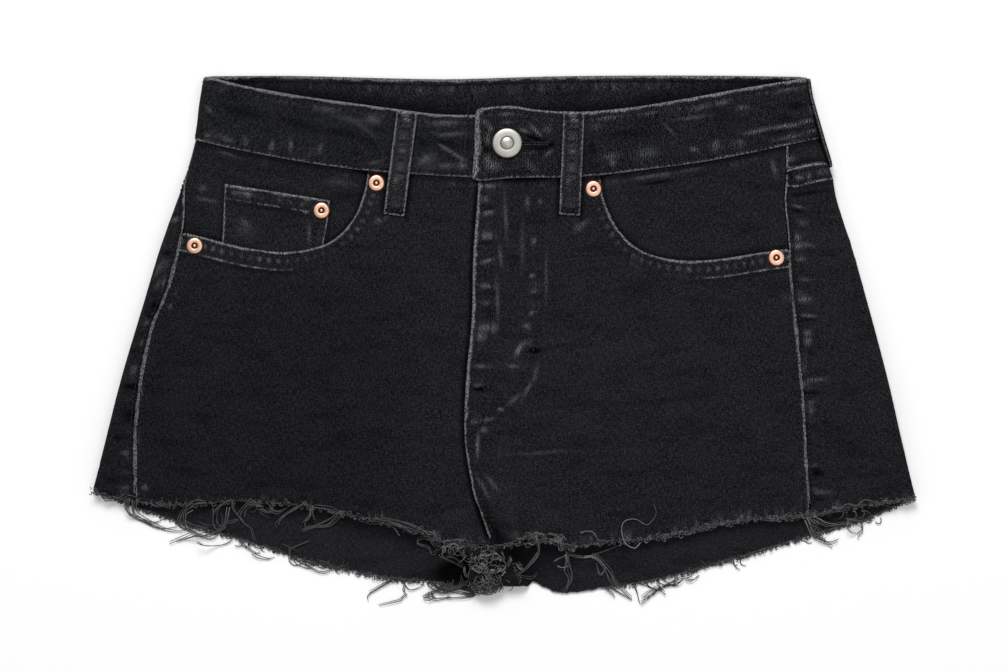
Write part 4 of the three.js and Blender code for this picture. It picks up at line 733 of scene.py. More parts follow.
def sheet(name, surface, sign, outline, thick, material, trims=(), holes=(), out=None, step=1.0,
          inner_step=3.2, creases=True, grain=0.0, soften=0.35, ragged=0.0, inner_trims=(), shade=None,
          coarse=(0, -0.6)):
    """A wall of cloth: fine outside, plain inside, joined round its cut edges."""
    loops = [resampled(outline, step)] + [resampled(hole, step * 0.8) for hole in holes]
    layers = [triangles_inside(loops, step, [line for trim in trims for line in trim.guides()]),
              triangles_inside(loops, inner_step, [line for trim in inner_trims for line in trim.guides()])]
    rim_count = sum(len(loop) for loop in loops)
    cut = np.vstack([loops[0], loops[0][:1]])
    all_points, all_uv, all_faces, start = [], [], [], 0
    fields = {"edge": [], "groove": [], "wash": [], "coarse": []}
    turn = math.radians(grain)
    for layer, (points, tris) in enumerate(layers):
        outer = layer == 0
        mark = {"edge": np.full(len(points), 9.0), "groove": np.full(len(points), 9.0),
                "wash": np.zeros(len(points)), "coarse": np.full(len(points), coarse[layer])}
        height = np.zeros(len(points))
        x, y, z = surface(points[:, 0], points[:, 1]).T
        for trim in (trims if outer else inner_trims):
            trim.mark(points, mark, height)
        if not outer:
            height[:] = 0
        # Painted shade in the hollows, on the top of the outside and on the inside of the legs
        mark["wash"] -= humps(PAINTED_SHADE, x, y) * (z > 4) if outer else humps(PAINTED_SHADE_INSIDE, x, y)
        if shade:
            mark["wash"] -= shade(x, y, z)
        if outer and creases:
            on_top = ease((z - 4) / 3)
            worn = humps(STREAKS, x, y) * on_top
            height += humps(CREASES, x, y) * on_top + 0.22 * worn
            mark["wash"] += 0.1 * humps(CREASES, x, y) * on_top + 1.7 * worn
            # Painted shade: the top of the cloth darkens towards its right side, below the waist
            mark["wash"] -= 0.35 * on_top * ease((-30 - x) / 60) * ease((60 - y) / 40)
            slow = wander(points[:, 0], 31, 3) * wander(points[:, 1], 27, 4)
            quick = wander(points[:, 0] + 0.4 * points[:, 1], 9, 6) * wander(points[:, 1], 11, 8)
            height += 0.22 * slow + 0.1 * quick
        to_cut, _ = along(cut, points)
        drop = soften * np.exp(-np.abs(to_cut) / 0.5)
        height -= drop if outer else 0
        if ragged:
            nudge = ragged * np.exp(-np.abs(to_cut) / 1.2) * (points[:, 1] < -88)
            points = points + pairs(nudge * wander(points[:, 0], 1.7, 11), nudge * wander(points[:, 0], 2.1, 12))
        away = (thick / 2 + height) if outer else np.full(len(points), -thick / 2)
        if out is not None:
            away = away + out(points[:, 0], points[:, 1])
        normal = normals(surface, sign, points)
        place = surface(points[:, 0], points[:, 1]) + normal * away[:, None]
        place[:, 2] = np.maximum(place[:, 2], 0.02)
        all_points.append(place)
        u, v = points[:, 0], points[:, 1]
        all_uv.append(pairs(u * math.cos(turn) + v * math.sin(turn), v * math.cos(turn) - u * math.sin(turn)))
        facing = sign if outer else -sign
        all_faces.append((tris if facing > 0 else tris[:, ::-1]) + start)
        for field in fields:
            fields[field].append(mark[field])
        start += len(points)
    rim, first, count = [], 0, len(layers[0][0])
    for n, loop in enumerate(loops):
        size = len(loop)
        i = np.arange(size)
        a, b = first + i, first + (i + 1) % size
        turned = np.sum(loop[:, 0] * np.roll(loop[:, 1], -1) - np.roll(loop[:, 0], -1) * loop[:, 1]) > 0
        quad = np.stack([a, a + count, b + count, b], -1)
        rim.append(quad if (turned == (n == 0)) == (sign > 0) else quad[:, ::-1])
        first += size
    points = np.vstack(all_points)
    fields = {field: np.concatenate(values) for field, values in fields.items()}
    rim_tris = [np.vstack([quad[:, [0, 1, 2]], quad[:, [0, 2, 3]]]) for quad in rim]
    piece = new_mesh_object(name, points, all_faces + rim_tris, np.vstack(all_uv), fields, material)
    flat = loops[0]
    area = abs(np.sum(flat[:, 0] * np.roll(flat[:, 1], -1) - np.roll(flat[:, 0], -1) * flat[:, 1])) / 2
    for hole in loops[1:]:
        area -= abs(np.sum(hole[:, 0] * np.roll(hole[:, 1], -1) - np.roll(hole[:, 0], -1) * hole[:, 1])) / 2
    size = flat.max(axis=0) - flat.min(axis=0)
    for trim in trims:
        if trim.stitches:
            STITCH_ROWS.extend((trim, row, surface, sign, out, thick) for row in trim.rows)
    return piece


STITCH_ROWS = []


def declare(piece, node):
    """Hides the solid that a piece of cloth stands for."""
    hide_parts(node)


def tubes(paths, radii, sides):
    """Round strands along many paths of equally many points, closed at their ends."""
    n, k, _ = paths.shape
    tangent = np.gradient(paths, axis=1)
    tangent /= np.maximum(np.linalg.norm(tangent, axis=2, keepdims=True), LEAST)
    up = np.where(np.abs(tangent[..., 2:3]) > 0.9, np.array([1.0, 0, 0]), np.array([0, 0, 1.0]))
    across = np.cross(tangent, up)
    across /= np.maximum(np.linalg.norm(across, axis=2, keepdims=True), LEAST)
    other = np.cross(across, tangent)
    angle = np.arange(sides) * 2 * math.pi / sides
    ring = (across[:, :, None] * np.cos(angle)[:, None] + other[:, :, None] * np.sin(angle)[:, None])
    points = paths[:, :, None] + ring * radii[:, :, None, None]
    index = np.arange(n * k * sides).reshape(n, k, sides)
    nxt = np.roll(index, -1, axis=2)
    quads = np.stack([index[:, :-1], index[:, 1:], nxt[:, 1:], nxt[:, :-1]], -1).reshape(-1, 4)
    caps = [np.stack([index[:, 0, 0], index[:, 0, j], index[:, 0, j + 1]], -1) for j in range(1, sides - 1)]
    caps += [np.stack([index[:, -1, 0], index[:, -1, j + 1], index[:, -1, j]], -1) for j in range(1, sides - 1)]
    return points.reshape(-1, 3), [quads, np.vstack(caps)]


def lap_lift(x, start, width, height):
    return height * (1 - ease((x - start) / width))


def front_lap(x, y):
    return lap_lift(x, front_centre(y) + FLY_LAP + 2, 13, CLOTH + GAP)


def band_lap(u, v):
    x = band_ring(u, v)[:, 0]
    return np.where(u > 200, lap_lift(x, BAND_LAP_END + 1.5, 17, BAND + GAP), 0)


def pocket_mouth(side, step=1.5):
    return curve(POCKET_RIGHT if side < 0 else POCKET_LEFT, step)


def facing_depth(side):
    mouth = pocket_mouth(side, 3)
    deep = 2 * (CLOTH + GAP) if side < 0 else CLOTH + GAP

    def depth(x, y):
        near, _ = along(mouth, pairs(x, y))
        to_seam = np.minimum(waist_seam_front(x) - y, np.abs(x - side_seam_front(y, side)))
        return -deep + (deep - 0.2) * ease(1 - to_seam / 13) * ease((side * near - 2) / 10)

    return depth


def front_panel(side, material, step):
    half = SEAM / 2
    lap_over = -0.25
    foot = -101 if side < 0 else -105
    mouth = pocket_mouth(side)
    head = mouth[-1, 1] - (2.5 if side < 0 else 2)

    def seam(y):
        return side_seam_front(y, side) - side * lap_over

    lap = FLY_LAP if side < 0 else 0
    x = spread(float(seam(foot)), -7 + lap, 1.2)
    hem = pairs(x, np.where(x > -7, front_hem[side](x), -124) if side > 0 else
                np.where(x > -7, -124, front_hem[side](x)))
    y = spread(-122, 94, 1.5)
    middle = pairs(front_centre(y) + lap, y)
    x = spread(float(front_centre(96) + lap), float(mouth[0, 0]), 1.5)
    waist = pairs(x, waist_seam_front(x) - half)
    open_edge = mouth[(side * (mouth[:, 0] - seam(mouth[:, 1])) < -1)
                      & (mouth[:, 1] < waist_seam_front(mouth[:, 0]) - 2)]
    y = spread(float(head), foot + 3, 1.5)
    edge = pairs(seam(y), y)
    outline = np.vstack([hem, middle, waist, open_edge, edge])
    seed = 10 + side
    # The mouth runs from the waist outwards, so its band lies on its left for the right pocket
    trims = [
        Trim(open_edge, side=-side, wear=2.0, band=10.8, lift=0.32, rows=(2.9, 7.8), pucker=0.1, period=4.6,
             wash=0.15, seed=seed, beads=[(5.2, 5.3, 1.5, 1.5)],
             ridges=[(10.7, 1.0, 0.36 if side < 0 else 0.46, 1.1)]),
        Trim(edge, side=-side, wear=1.4 if side < 0 else 1.2, band=6, pucker=0.12, period=7, wash=0.2,
             bead=0.2, seed=seed + 2, rows=(3,)),
        Trim(hem, side=-side, wear=0.5, band=5, lift=0.1, pucker=0.3, period=3.2, wash=0.6, seed=seed + 3),
        # Painted shadow under the waistband's lower edge
        Trim(waist, side=-side, band=5, pucker=0.12, period=6, wash=0.3, seed=seed + 4, dark=1.0)]
    # Painted shadow on the cloth along both sides of each front belt loop
    trims += [Trim(line, dark=1.3, stitches=False) for line in beside_loop(side, 97.5)]
    if side > 0:
        upper, lower = spread(92, -46, 1.5), spread(-44, -118, 1.5)
        trims += [
            Trim(pairs(front_centre(upper), upper), wear=2.7, roll=0.5, band=11, lift=0.12, rows=(3.6, 11.5),
                 pucker=0.1, period=15, wash=0.1, seed=31),
            Trim(pairs(front_centre(lower), lower), wear=1.7, roll=0.4, band=6, lift=0.1, rows=(2.6, 5.4),
                 pucker=0.15, period=7, wash=0.2, seed=32),
            Trim(curve(J_STITCH), side=-1, band=8, rows=(0, 3.6), pucker=0.12, period=6, wash=0.2, seed=37)]
    else:
        fly_line = pairs(front_centre(spread(90, -118, 1.5)), spread(90, -118, 1.5))
        # Painted shadow along the fly's edge
        trims += [Trim(fly_line, side=-1, band=5, pucker=0.12, period=9, wash=0.1, seed=33, dark=1.6)]
    name = "panel_front_right" if side < 0 else "panel_front_left"
    return sheet(name, on_front, 1, outline, CLOTH, material, trims, out=front_lap if side > 0 else None,
                 step=step, grain=3 * side, ragged=0.5)


def back_panel(side, material, step):
    half = SEAM / 2
    foot = -95 if side < 0 else -101

    def seam(y):
        return side_seam_ring(y, side) - side * half

    corner = float(edge_right(-92) if side < 0 else edge_left(-96))
    u = spread(float(seam(foot)), corner + side * 2, 1.5)
    flap = pairs(u, front_hem[side](on_ring(u, np.full(u.shape, float(foot)))[:, 0]))
    u = spread(corner - side * 4, -31 if side < 0 else 17, 1.5)
    hem = pairs(u, back_hem[side](u))
    rim = curve(FORK_RIM_RIGHT if side < 0 else FORK_RIM_LEFT, 2)
    if side > 0:
        rim = rim[::-1]
    fork = pairs(back_centre([-176.4]) + side * half, -176.4)
    y = spread(-172, 66, 3)
    centre = pairs(back_centre(y) + side * half, y)
    top_y = yoke_end(side)
    u = spread(float(back_centre(72) + side * half), float(seam(top_y)), 1.5)
    top = pairs(u, yoke_seam(u) - half)
    y = spread(top_y - 3, foot + 3, 1.5)
    edge = pairs(seam(y), y)
    outline = np.vstack([flap, hem, rim, fork, centre, top, edge])
    seed = 50 + side
    trims = [
        # Painted shadow beside the side seam
        Trim(edge, side=-side, wear=1.2, band=9, lift=0.22, rows=(2.6,), pucker=0.16, period=9, wash=0.3,
             dark=0.5, seed=seed, fine=20),
        Trim(flap, side=-side, wear=0.5, band=4, pucker=0.2, period=3.5, wash=0.6, seed=seed + 1),
        Trim(hem, side=-side, wear=0.5, band=4, pucker=0.2, period=3.5, wash=0.4, seed=seed + 2),
        Trim(top, side=-side, wear=1.8, band=10, rows=(2.6, 7.6), pucker=0.12, period=5, wash=0.2,
             seed=seed + 3, beads=[(5.2, 6.5, 1.4, 0.8)], ridges=[(9.8, 0.9, -0.1, 1.1)]),
        Trim(centre[centre[:, 1] > -140], side=-side, band=10, rows=(2, 8.5), pucker=0.12, period=7,
             seed=seed + 4)]
    name = "panel_back_right" if side < 0 else "panel_back_left"
    inner = [Trim(hem, wear=0.9, seed=seed + 2), Trim(flap, wear=0.9, seed=seed + 1)]
    return sheet(name, on_ring, -1, outline, CLOTH, material, trims, step=step, inner_step=2.6,
                 grain=-3 * side, ragged=0.5, inner_trims=inner)


def yoke(side, material, step):
    half = SEAM / 2

    def seam(y):
        return side_seam_ring(y, side) - side * half

    centre = float(back_centre(90) + side * half)
    u = spread(centre, float(seam(yoke_end(side))), 1.5)
    bottom = pairs(u, yoke_seam(u) + half)
    u = spread(float(seam(seam_top(side))), centre, 1.5)
    top = pairs(u, waist_seam_ring(u) - half)
    edge = np.vstack([bottom[-1:], top[:1]])
    # Painted shadow along the yoke's lower and upper seams
    trims = [Trim(bottom, side=side, wear=0.4, band=4, pucker=0.1, period=6, wash=0.2, dark=1.1, seed=71 + side),
             Trim(top, side=side, band=5, pucker=0.1, period=6, wash=0.3, seed=75 + side, dark=0.9),
             Trim(edge, side=side, wear=1.4, band=5, lift=0.1, wash=0.3, seed=73 + side)]
    name = "back_yoke_right" if side < 0 else "back_yoke_left"
    return sheet(name, on_ring, -1, np.vstack([bottom, top]), CLOTH, material, trims, step=step)


def waistband_outline():
    half = SEAM / 2
    tops = {-1: through(WAIST_TOP_RIGHT), 1: through(WAIST_TOP_LEFT), 0: through(WAIST_TOP_BACK)}

    def on_band(x, y, side):
        return pairs(unrolled(x, y, side, BAND / 2), y)

    right, left, back = spread(BAND_LAP_END, -174, 2), spread(176, BAND_LAP_START + 2, 2), spread(-176, 178, 4)
    upper = np.vstack([on_band(right, tops[-1](right), -1), pairs(back, tops[0](back)),
                       on_band(left, tops[1](left), 1)])
    ends = [float(unrolled(BAND_LAP_END, 98, -1, BAND / 2)), float(unrolled(BAND_LAP_START, 98, 1, BAND / 2))]
    u = spread(*ends, 2)
    lower = pairs(u, waist_seam_ring(u) + half)
    x = band_ring(*lower.T)[:, 0]
    lower[:, 1] -= 2.4 * np.exp(-((x + 18) / 16) ** 2) * (u > 200)
    end = curve(FLAP_END, 1.2)
    end = on_band(end[:, 0], end[:, 1], 1)
    lower = lower[lower[:, 0] < end[-1, 0] - 1]
    return upper, lower, end, on_band


def beside_loop(side, low, high=99.5):
    """Lines on the cloth just beside a front belt loop, below or above the waist seam."""
    (x0, y0), (x1, y1) = BELT_LOOPS_FRONT[0 if side < 0 else 1][1:]
    if low < 98:
        y0, y1, x0, x1 = low, y1 - 1, x0 + (x1 - x0) * (y0 - low) / (y0 - y1), x1
    else:
        y1, x1 = high, x0 + (x1 - x0) * (y0 - high) / (y0 - y1)
    y = spread(y0, y1, 1.5)
    x = x0 + (x1 - x0) * (y0 - y) / (y0 - y1)
    # A line's left is the side that its shade falls on, so each runs with the loop on its right
    far = LOOP_WIDTH / 2
    return [pairs(x + far, y), pairs(x - far, y)[::-1]]


def buttonhole(on_band):
    eye, slit, reach = 2.9, 0.4, 27
    ring = [(0, -1), (0.7, -0.7), None, (0.7, 0.7), (0, 1), (-0.7, 0.7), (-1, 0), (-0.7, -0.7)]
    points = []
    for place in ring:
        if place is None:
            points += [(BUTTON_SEEN[0] + eye, BUTTON_SEEN[1] - 0.7), (reach, BUTTON_SEEN[1] - slit),
                       (reach, BUTTON_SEEN[1] + slit), (BUTTON_SEEN[0] + eye, BUTTON_SEEN[1] + 0.7)]
        else:
            points.append((BUTTON_SEEN[0] + place[0] * eye, BUTTON_SEEN[1] + place[1] * eye))
    x, y = np.array(points, float).T
    return on_band(x, y, 1)


def waistband(material, step):
    upper, lower, end, on_band = waistband_outline()
    slot = buttonhole(on_band)
    trims = [
        Trim(upper, side=-1, wear=2.3, band=6, lift=0.1, rows=(3.1,), pucker=0.1, period=5, wash=0.25,
             seed=81, beads=[(5.0, 4.6, 1.1, 0.5)]),
        Trim(lower, side=1, wear=1.3, band=7, lift=0.12, rows=(2.7,), pucker=0.1, period=4.5, wash=0.25,
             bead=0.4, seed=82),
        Trim(end, side=1, wear=3.4, band=5, lift=0.15, roll=0.3, rows=(4.2,), pucker=0.1, period=5, wash=0.2,
             seed=83),
        # The buttonhole's slit, with a painted shadow along each side
        Trim(np.vstack([slot, slot[:1]])[2:8], wear=0.15, stitches=False, seed=84),
        Trim(np.vstack([slot, slot[:1]])[2:8], side=1, dark=1.0, stitches=False),
        Trim(np.vstack([slot, slot[:1]])[2:8], side=-1, dark=1.0, stitches=False)]
    # Painted shadow on the band beside each front belt loop
    for side in (-1, 1):
        trims += [Trim(on_band(line[:, 0], line[:, 1], side), side=1, dark=1.3, stitches=False)
                  for line in beside_loop(side, 134)]
    inner = [Trim(upper, side=-1, wear=2.4, band=5, rows=(3.6,), wash=0.2, period=5, seed=85, stitches=False,
                  beads=[(6.2, 6.5, 2.2, 0.6), (14, 11, 3, 0.3), (7, 17, 3, 0.4)])]
    tops = through(WAIST_TOP_RIGHT + [row for row in WAIST_TOP_LEFT if row[0] > 30])

    # Painted shade on the inside of the back band, just under the front's top edge
    def shade(x, y, z):
        above = y - tops(np.clip(x, -180, 181))
        return 1.1 * np.exp(-(above / 6.5) ** 2) * (z < 4) * (above > -12)

    outline = np.vstack([upper, end, lower[::-1]])
    return sheet("waistband_cloth", band_ring, -1, outline, BAND, material, trims, coarse=(0.6, 1.2),
                 holes=[slot], out=band_lap, step=step, inner_step=1.9, soften=0.6, inner_trims=inner, shade=shade)


def facing(side, material, step):
    half = SEAM / 2

    def seam(y):
        return side_seam_front(y, side) - side * half

    mouth = pocket_mouth(side, 4)
    middle = np.array([-145.0 if side < 0 else 125.0, 90.0])
    away = mouth[:-1] - middle
    under = middle + away * (1 + 11 / np.linalg.norm(away, axis=1, keepdims=True))
    under = under[(side * (under[:, 0] - seam(under[:, 1])) < -3)
                  & (under[:, 1] < waist_seam_front(under[:, 0]) - 2)]
    corner = seam_top(side)
    x = spread(-72 if side < 0 else 49, float(seam(corner)), 2)
    waist = pairs(x, waist_seam_front(x) - half)
    y = spread(corner - 3, float(under[-1, 1]), 2)
    outline = np.vstack([waist, pairs(seam(y), y), under[::-1]])
    name = "facing_right" if side < 0 else "facing_left"
    # Painted shadow under the waist seam and under the pocket mouth's edge
    trims = [Trim(waist, side=side * -1, band=6, pucker=0.12, period=6, wash=0.2, seed=91 + side, dark=1.1),
             Trim(mouth, side=side, dark=1.0, wear=0.0, band=0.1)]
    if side < 0:
        # Painted shadow round the coin pocket
        trims.append(Trim(np.array(COIN_POCKET[-1:] + COIN_POCKET[:4], float), dark=0.6))
    return sheet(name, on_front, 1, outline, CLOTH, material, trims, out=facing_depth(side), step=step)


def coin_pocket(material, step):
    line = np.array(COIN_POCKET, float)
    depth = facing_depth(-1)
    top, right = resampled(line[:2], 2, False), resampled(line[1:4], 2, False)
    left = resampled(line[[4, 0]], 2, False)
    trims = [Trim(top, side=-1, wear=2.0, band=8, lift=0.3, rows=(2.8, 7.4), pucker=0.1, period=4, wash=0.4,
                  seed=95, beads=[(4.9, 8, 1.4, 0.7)], ridges=[(8.6, 0.8, -0.1, 0.9)]),
             Trim(right, side=-1, wear=1.1, band=4, lift=0.1, rows=(2.4, 6), pucker=0.1, period=4, wash=0.2, seed=96),
             Trim(left, side=-1, wear=1.2, band=4, lift=0.1, rows=(2.6,), pucker=0.1, period=4, wash=0.2, seed=97)]
    return sheet("small_pocket", on_front, 1, line, CLOTH, material, trims, step=step,
                 out=lambda x, y: depth(x, y) + CLOTH + GAP)


def back_pocket(side, material, step):
    middle = float(back_centre(0)) + side * 92
    half = np.array(BACK_POCKET, float)
    outline = np.vstack([half, half[:-1][::-1] * (-1, 1)]) + (middle, 0)
    edge = np.vstack([outline, outline[:1]])
    trims = [Trim(edge, side=-1, wear=0.8, band=8, lift=0.0, rows=(2, 8), seed=99)]
    name = "pocket_back_right" if side < 0 else "pocket_back_left"
    return sheet(name, on_ring, -1, outline, CLOTH, material, trims, step=step, creases=False,
                 out=lambda u, v: np.full(u.shape, CLOTH + GAP), soften=0.2)


def strap_surface(surface, sign, line, out):
    """The middle of a belt loop: a strap of its own width along a line over the cloth."""
    def strap(across, down):
        u, v = line(down, across)
        points = pairs(u, v)
        away = out(down) + 0 * u
        return surface(u, v) + normals(surface, sign, points) * away[:, None]

    return strap


def belt_loops(material, step):
    low, high = CLOTH + GAP, (BAND + CLOTH) / 2 + GAP
    pieces = []

    def add(name, surface, sign, line, out, length):
        strap = strap_surface(surface, sign, lambda down, across: line(down / length, across), lambda d: out(d / length))
        half = LOOP_WIDTH / 2
        outline = np.array([(-half, 0), (half, 0), (half, length), (-half, length)], float)
        sewn = (2.7,) if name != "loop_side_left" else ()
        sides = [Trim(resampled([(x, 0.0), (x, length)], 1.5, False), side=1 if x > 0 else -1,
                      wear=1.5 if sewn else 0.5, band=3, lift=0.15, rows=sewn, pucker=0.1, period=4, wash=0.2,
                      bead=0.2, seed=101 + len(pieces) + x) for x in (half, -half)]
        ends = [Trim(resampled([(-half, y), (half, y)], 1.5, False), side=1 if y == 0 else -1,
                     wear=2.2 if y == 0 else 1.5, rows=sewn and (3.8 if y == 0 else 2.6,), seed=103)
                for y in (0.0, length)]
        # Painted shadow in a line near each end of a loop
        ends += [Trim(resampled([(-half, y), (half, y)], 1.5, False), side=turned, dark=deep, stitches=False)
                 for y, turned, deep in ((1.7, 1, 0.9), (length - 1.7, -1, 1.5))]
        # Painted highlight: light spots along the middle of each loop; the loop is also made lighter where it stands
        # up
        shine = Trim(resampled([(-3, 5.0), (-3, length * 0.62)], 1.5, False), side=-1, stitches=False,
                     beads=[(3, 9, 2.1, 1.4 if sewn else 0.1), (3, 3.7, 2.3, 1.2 if sewn else 0.1)])
        piece = sheet(name, strap, -sign, outline, CLOTH, material, [*sides, *ends, shine], step=step,
                      creases=False, grain=8, coarse=(1.6, 0), shade=lambda x, y, z: -0.25 * (z > 4))
        pieces.append(piece)

    for name, top, end in BELT_LOOPS_FRONT:
        top, end = np.array(top, float), np.array(end, float)
        way = (end - top) / np.linalg.norm(end - top)
        line = lambda t, a, top=top, end=end, way=way: (top[0] + (end - top)[0] * t - way[1] * a,
                                                         top[1] + (end - top)[1] * t + way[0] * a)
        out = lambda t: high - (high - low) * ease((t - 0.62) / 0.25) + 0.5 * np.sin(math.pi * np.clip(t, 0, 1))
        add(name.replace("belt_loop", "loop"), on_front, 1, line, out, float(np.linalg.norm(end - top)))
    for name, at, top_y, end_y in BELT_LOOPS_BACK:
        line = lambda t, a, at=at, top_y=top_y, end_y=end_y: (at + a, top_y + (end_y - top_y) * t + 0 * a)
        add(name.replace("belt_loop", "loop"), on_ring, -1, line, lambda t: low + 0 * t, top_y - end_y)

    def on_fold(t, a):
        y = 156.5 + t * (103 - 156.5)
        r = fold_radius(y, CLOTH / 2)
        return edge_left(y) - r + 0.42 * math.pi * r + a * 0.66, y + 0 * a

    add("loop_side_left", on_ring, -1, on_fold,
        lambda t: high + 0.2 + 3 * np.sin(math.pi * np.clip(t, 0, 1)) * t, 53.5)
    return pieces


def stitch_paths(length, pitch):
    """The middle line of every stitch, in 3D, from the rows that the sheets asked for."""
    share = np.array([-0.5, -0.3, 0.0, 0.3, 0.5]) * length
    lift = np.array([-0.2, 0.1, 0.22, 0.1, -0.2])
    found = []
    for trim, row, surface, sign, out, thick in STITCH_ROWS:
        moved = resampled(trim.moved(row), 0.6, closed=False)
        total = np.linalg.norm(np.diff(moved, axis=0), axis=1).sum()
        at = np.concatenate([[0], np.cumsum(np.linalg.norm(np.diff(moved, axis=0), axis=1))])
        middles = np.arange(pitch, total - pitch / 2, pitch)
        if not len(middles):
            continue
        s = middles[:, None] + share
        u, v = np.interp(s, at, moved[:, 0]), np.interp(s, at, moved[:, 1])
        flat = pairs(u.ravel(), v.ravel())
        away = thick / 2 + np.tile(lift, len(middles)) + trim.lift * (trim.band > row)
        if out is not None:
            away = away + out(flat[:, 0], flat[:, 1])
        place = surface(flat[:, 0], flat[:, 1]) + normals(surface, sign, flat) * away[:, None]
        found.append(place.reshape(len(middles), len(share), 3))
    return np.vstack(found)


def tack_paths():
    """Close stitches side by side that hold the fly."""
    paths = []
    for x, y, length, width, turn in BAR_TACKS:
        way = np.array([math.cos(math.radians(turn)), math.sin(math.radians(turn))])
        for t in np.arange(-length / 2, length / 2, 0.62):
            flat = np.array([x, y]) + way * t + np.outer(np.linspace(-0.5, 0.5, 5) * width, (-way[1], way[0]))
            away = CLOTH / 2 + front_lap(*flat.T) + (-0.2, 0.2, 0.35, 0.2, -0.2)
            paths.append(on_front(*flat.T) + normals(on_front, 1, flat) * away[:, None])
    return np.array(paths)


def ground(x, y):
    """The height of what a loose yarn would lie on at a place, and of the front cloth there."""
    side = np.where(x < 0, -1, 1)
    over_front = np.where(side < 0, y > front_hem[-1](x), y > front_hem[1](x))
    over_back = np.where(side < 0, y > back_hem[-1](np.minimum(x, -31)), y > back_hem[1](np.maximum(x, 17)))
    within = (x > edge_right(y)) & (x < edge_left(y))
    front = np.where(over_front & within, front_height(x, y) + CLOTH / 2, 0)
    back = np.where(over_back & within, back_rest(y) + CLOTH, 0)
    return np.maximum(front, back)


def settle(path, start_height, radius):
    """Lets a strand fall from its root to what lies under it."""
    reach = np.concatenate([[0], np.cumsum(np.linalg.norm(np.diff(path, axis=0), axis=1))])
    falling = start_height - (start_height - 0.5) * ease(reach / 15)
    height = np.maximum(falling, ground(path[:, 0], path[:, 1]) + radius + 0.15)
    for _ in range(3):
        height[1:-1] = (height[:-2] + 2 * height[1:-1] + height[2:]) / 4
    return np.column_stack([path, np.maximum(height, radius + 0.1)])


def yarn_paths(rows, hem_height, random, points=15):
    paths = []
    for x, y, heading, length, turn, count, apart in rows:
        for _ in range(count):
            long = length * random.uniform(0.65, 1.12)
            angle = math.radians(heading) + random.normal(0, 0.2)
            bend = math.radians(turn) * random.uniform(0.6, 1.35)
            wave, phase = random.uniform(0.1, 0.5), random.uniform(0, 6.3)
            t = np.linspace(0, 1, points)
            way = angle + bend * t + wave * np.sin(t * random.uniform(5, 12) + phase)
            step = np.column_stack([np.cos(way), np.sin(way)]) * long / (points - 1)
            root = np.array([x, y]) + random.normal(0, 1, 2) * (apart / 2, 0.6)
            path = root + np.vstack([[0, 0], np.cumsum(step[:-1], axis=0)])
            paths.append(settle(path, hem_height(root[0], root[1]) + random.uniform(-0.3, 0.6), 0.3))
    return np.array(paths)


def fuzz_paths(hem, spans, height, random, points=8):
    """Short curls packed along a frayed edge. Spans give x from, x to, curls a millimetre and size."""
    paths = []
    for start, end, density, size in spans:
        for _ in range(int(abs(end - start) * density)):
            x = random.uniform(min(start, end), max(start, end))
            bend = random.choice([-1, 1]) * random.uniform(2.2, 6.2)
            curl = size * random.uniform(0.1, 0.3)
            t = np.linspace(0, 1, points)
            way = random.uniform(-math.pi, math.pi) + bend * t
            step = np.column_stack([np.cos(way), np.sin(way)]) * abs(bend) * curl / (points - 1)
            root = np.array([x, float(hem(x)) + random.uniform(-0.35, 0.3) * size])
            path = root + np.vstack([[0, 0], np.cumsum(step[:-1], axis=0)])
            base = float(height(root[0], root[1])) + random.uniform(-0.6, 0.5)
            rise = random.uniform(0.2, 1.2) * np.sin(math.pi * t) - random.uniform(0, 0.8) * t
            z = np.maximum(base + rise, 0.32)
            paths.append(np.column_stack([path, z]))
    return np.array(paths)


def traced_paths(rows, height, random, points=26):
    """Threads along given lines, some of them two or three together."""
    paths = []
    for count, flat in rows:
        line = np.reshape(flat, (-1, 2))
        for number in range(count + 1):
            apart = random.normal(0, 0.8, 2) if number else 0
            loose = line + apart + random.normal(0, 0.3 if number else 0.15, line.shape)
            path = curve(loose, 0.5)
            path = path[np.linspace(0, len(path) - 1, points).astype(int)]
            start = float(height(path[0, 0], path[0, 1])) + random.uniform(0.5, 1.4)
            fallen = settle(path, start, 0.6 + 0.3 * number)
            paths.append(fallen)
    return np.array(paths)


def clump_paths(centre, size, count, long, random, points=12):
    """Curls balled up in an ellipsoid."""
    paths = []
    for _ in range(count):
        way = random.normal(0, 1, 3)
        way /= np.linalg.norm(way)
        root = np.array(centre) + way * size * random.uniform(0.5, 1.0)
        spin = np.cross(way, random.normal(0, 1, 3))
        spin /= max(np.linalg.norm(spin), LEAST)
        other = np.cross(way, spin)
        r = random.uniform(0.9, 3.3)
        a = np.linspace(0, long / r * random.uniform(0.5, 1.2), points)[:, None]
        path = root + r * (np.cos(a) - 1) * spin + r * np.sin(a) * other + way * 0.12 * a
        path[:, 2] = np.maximum(path[:, 2], 0.35)
        paths.append(path)
    return np.array(paths)


def strands(name, groups, material, node=None):
    """One piece from groups of paths, each with its thickness and number of sides."""
    all_points, faces, uv, shade, start = [], [], [], [], 0
    for paths, radius, sides, *tones in groups:
        if not len(paths):
            continue
        k = paths.shape[1]
        t = np.linspace(0, 1, k)
        radii = np.tile(radius * (1 - 0.45 * t**3), (len(paths), 1))
        own = np.random.default_rng(k).uniform(*tones, len(paths)) ** 1.8
        shade.append(np.repeat(own[:, None] * (1 - 0.7 * t * (k > 12)), sides, axis=1).ravel())
        points, quads = tubes(paths, radii, sides)
        all_points.append(points)
        faces += [f + start for f in quads]
        reach = np.cumsum(np.linalg.norm(np.diff(paths, axis=1, prepend=paths[:, :1]), axis=2), axis=1)
        along_it = np.repeat((reach + np.arange(len(paths))[:, None] * 7.3)[:, :, None], sides, axis=2)
        around = np.tile(np.arange(sides) / sides, (len(paths), k, 1))
        uv.append(np.stack([along_it.ravel(), around.ravel()], -1))
        start += len(points)
    fields = {"shade": np.concatenate(shade)}
    piece = new_mesh_object(name, np.vstack(all_points), faces, np.vstack(uv), fields, material)
    if node:
        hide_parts(node)
    return piece


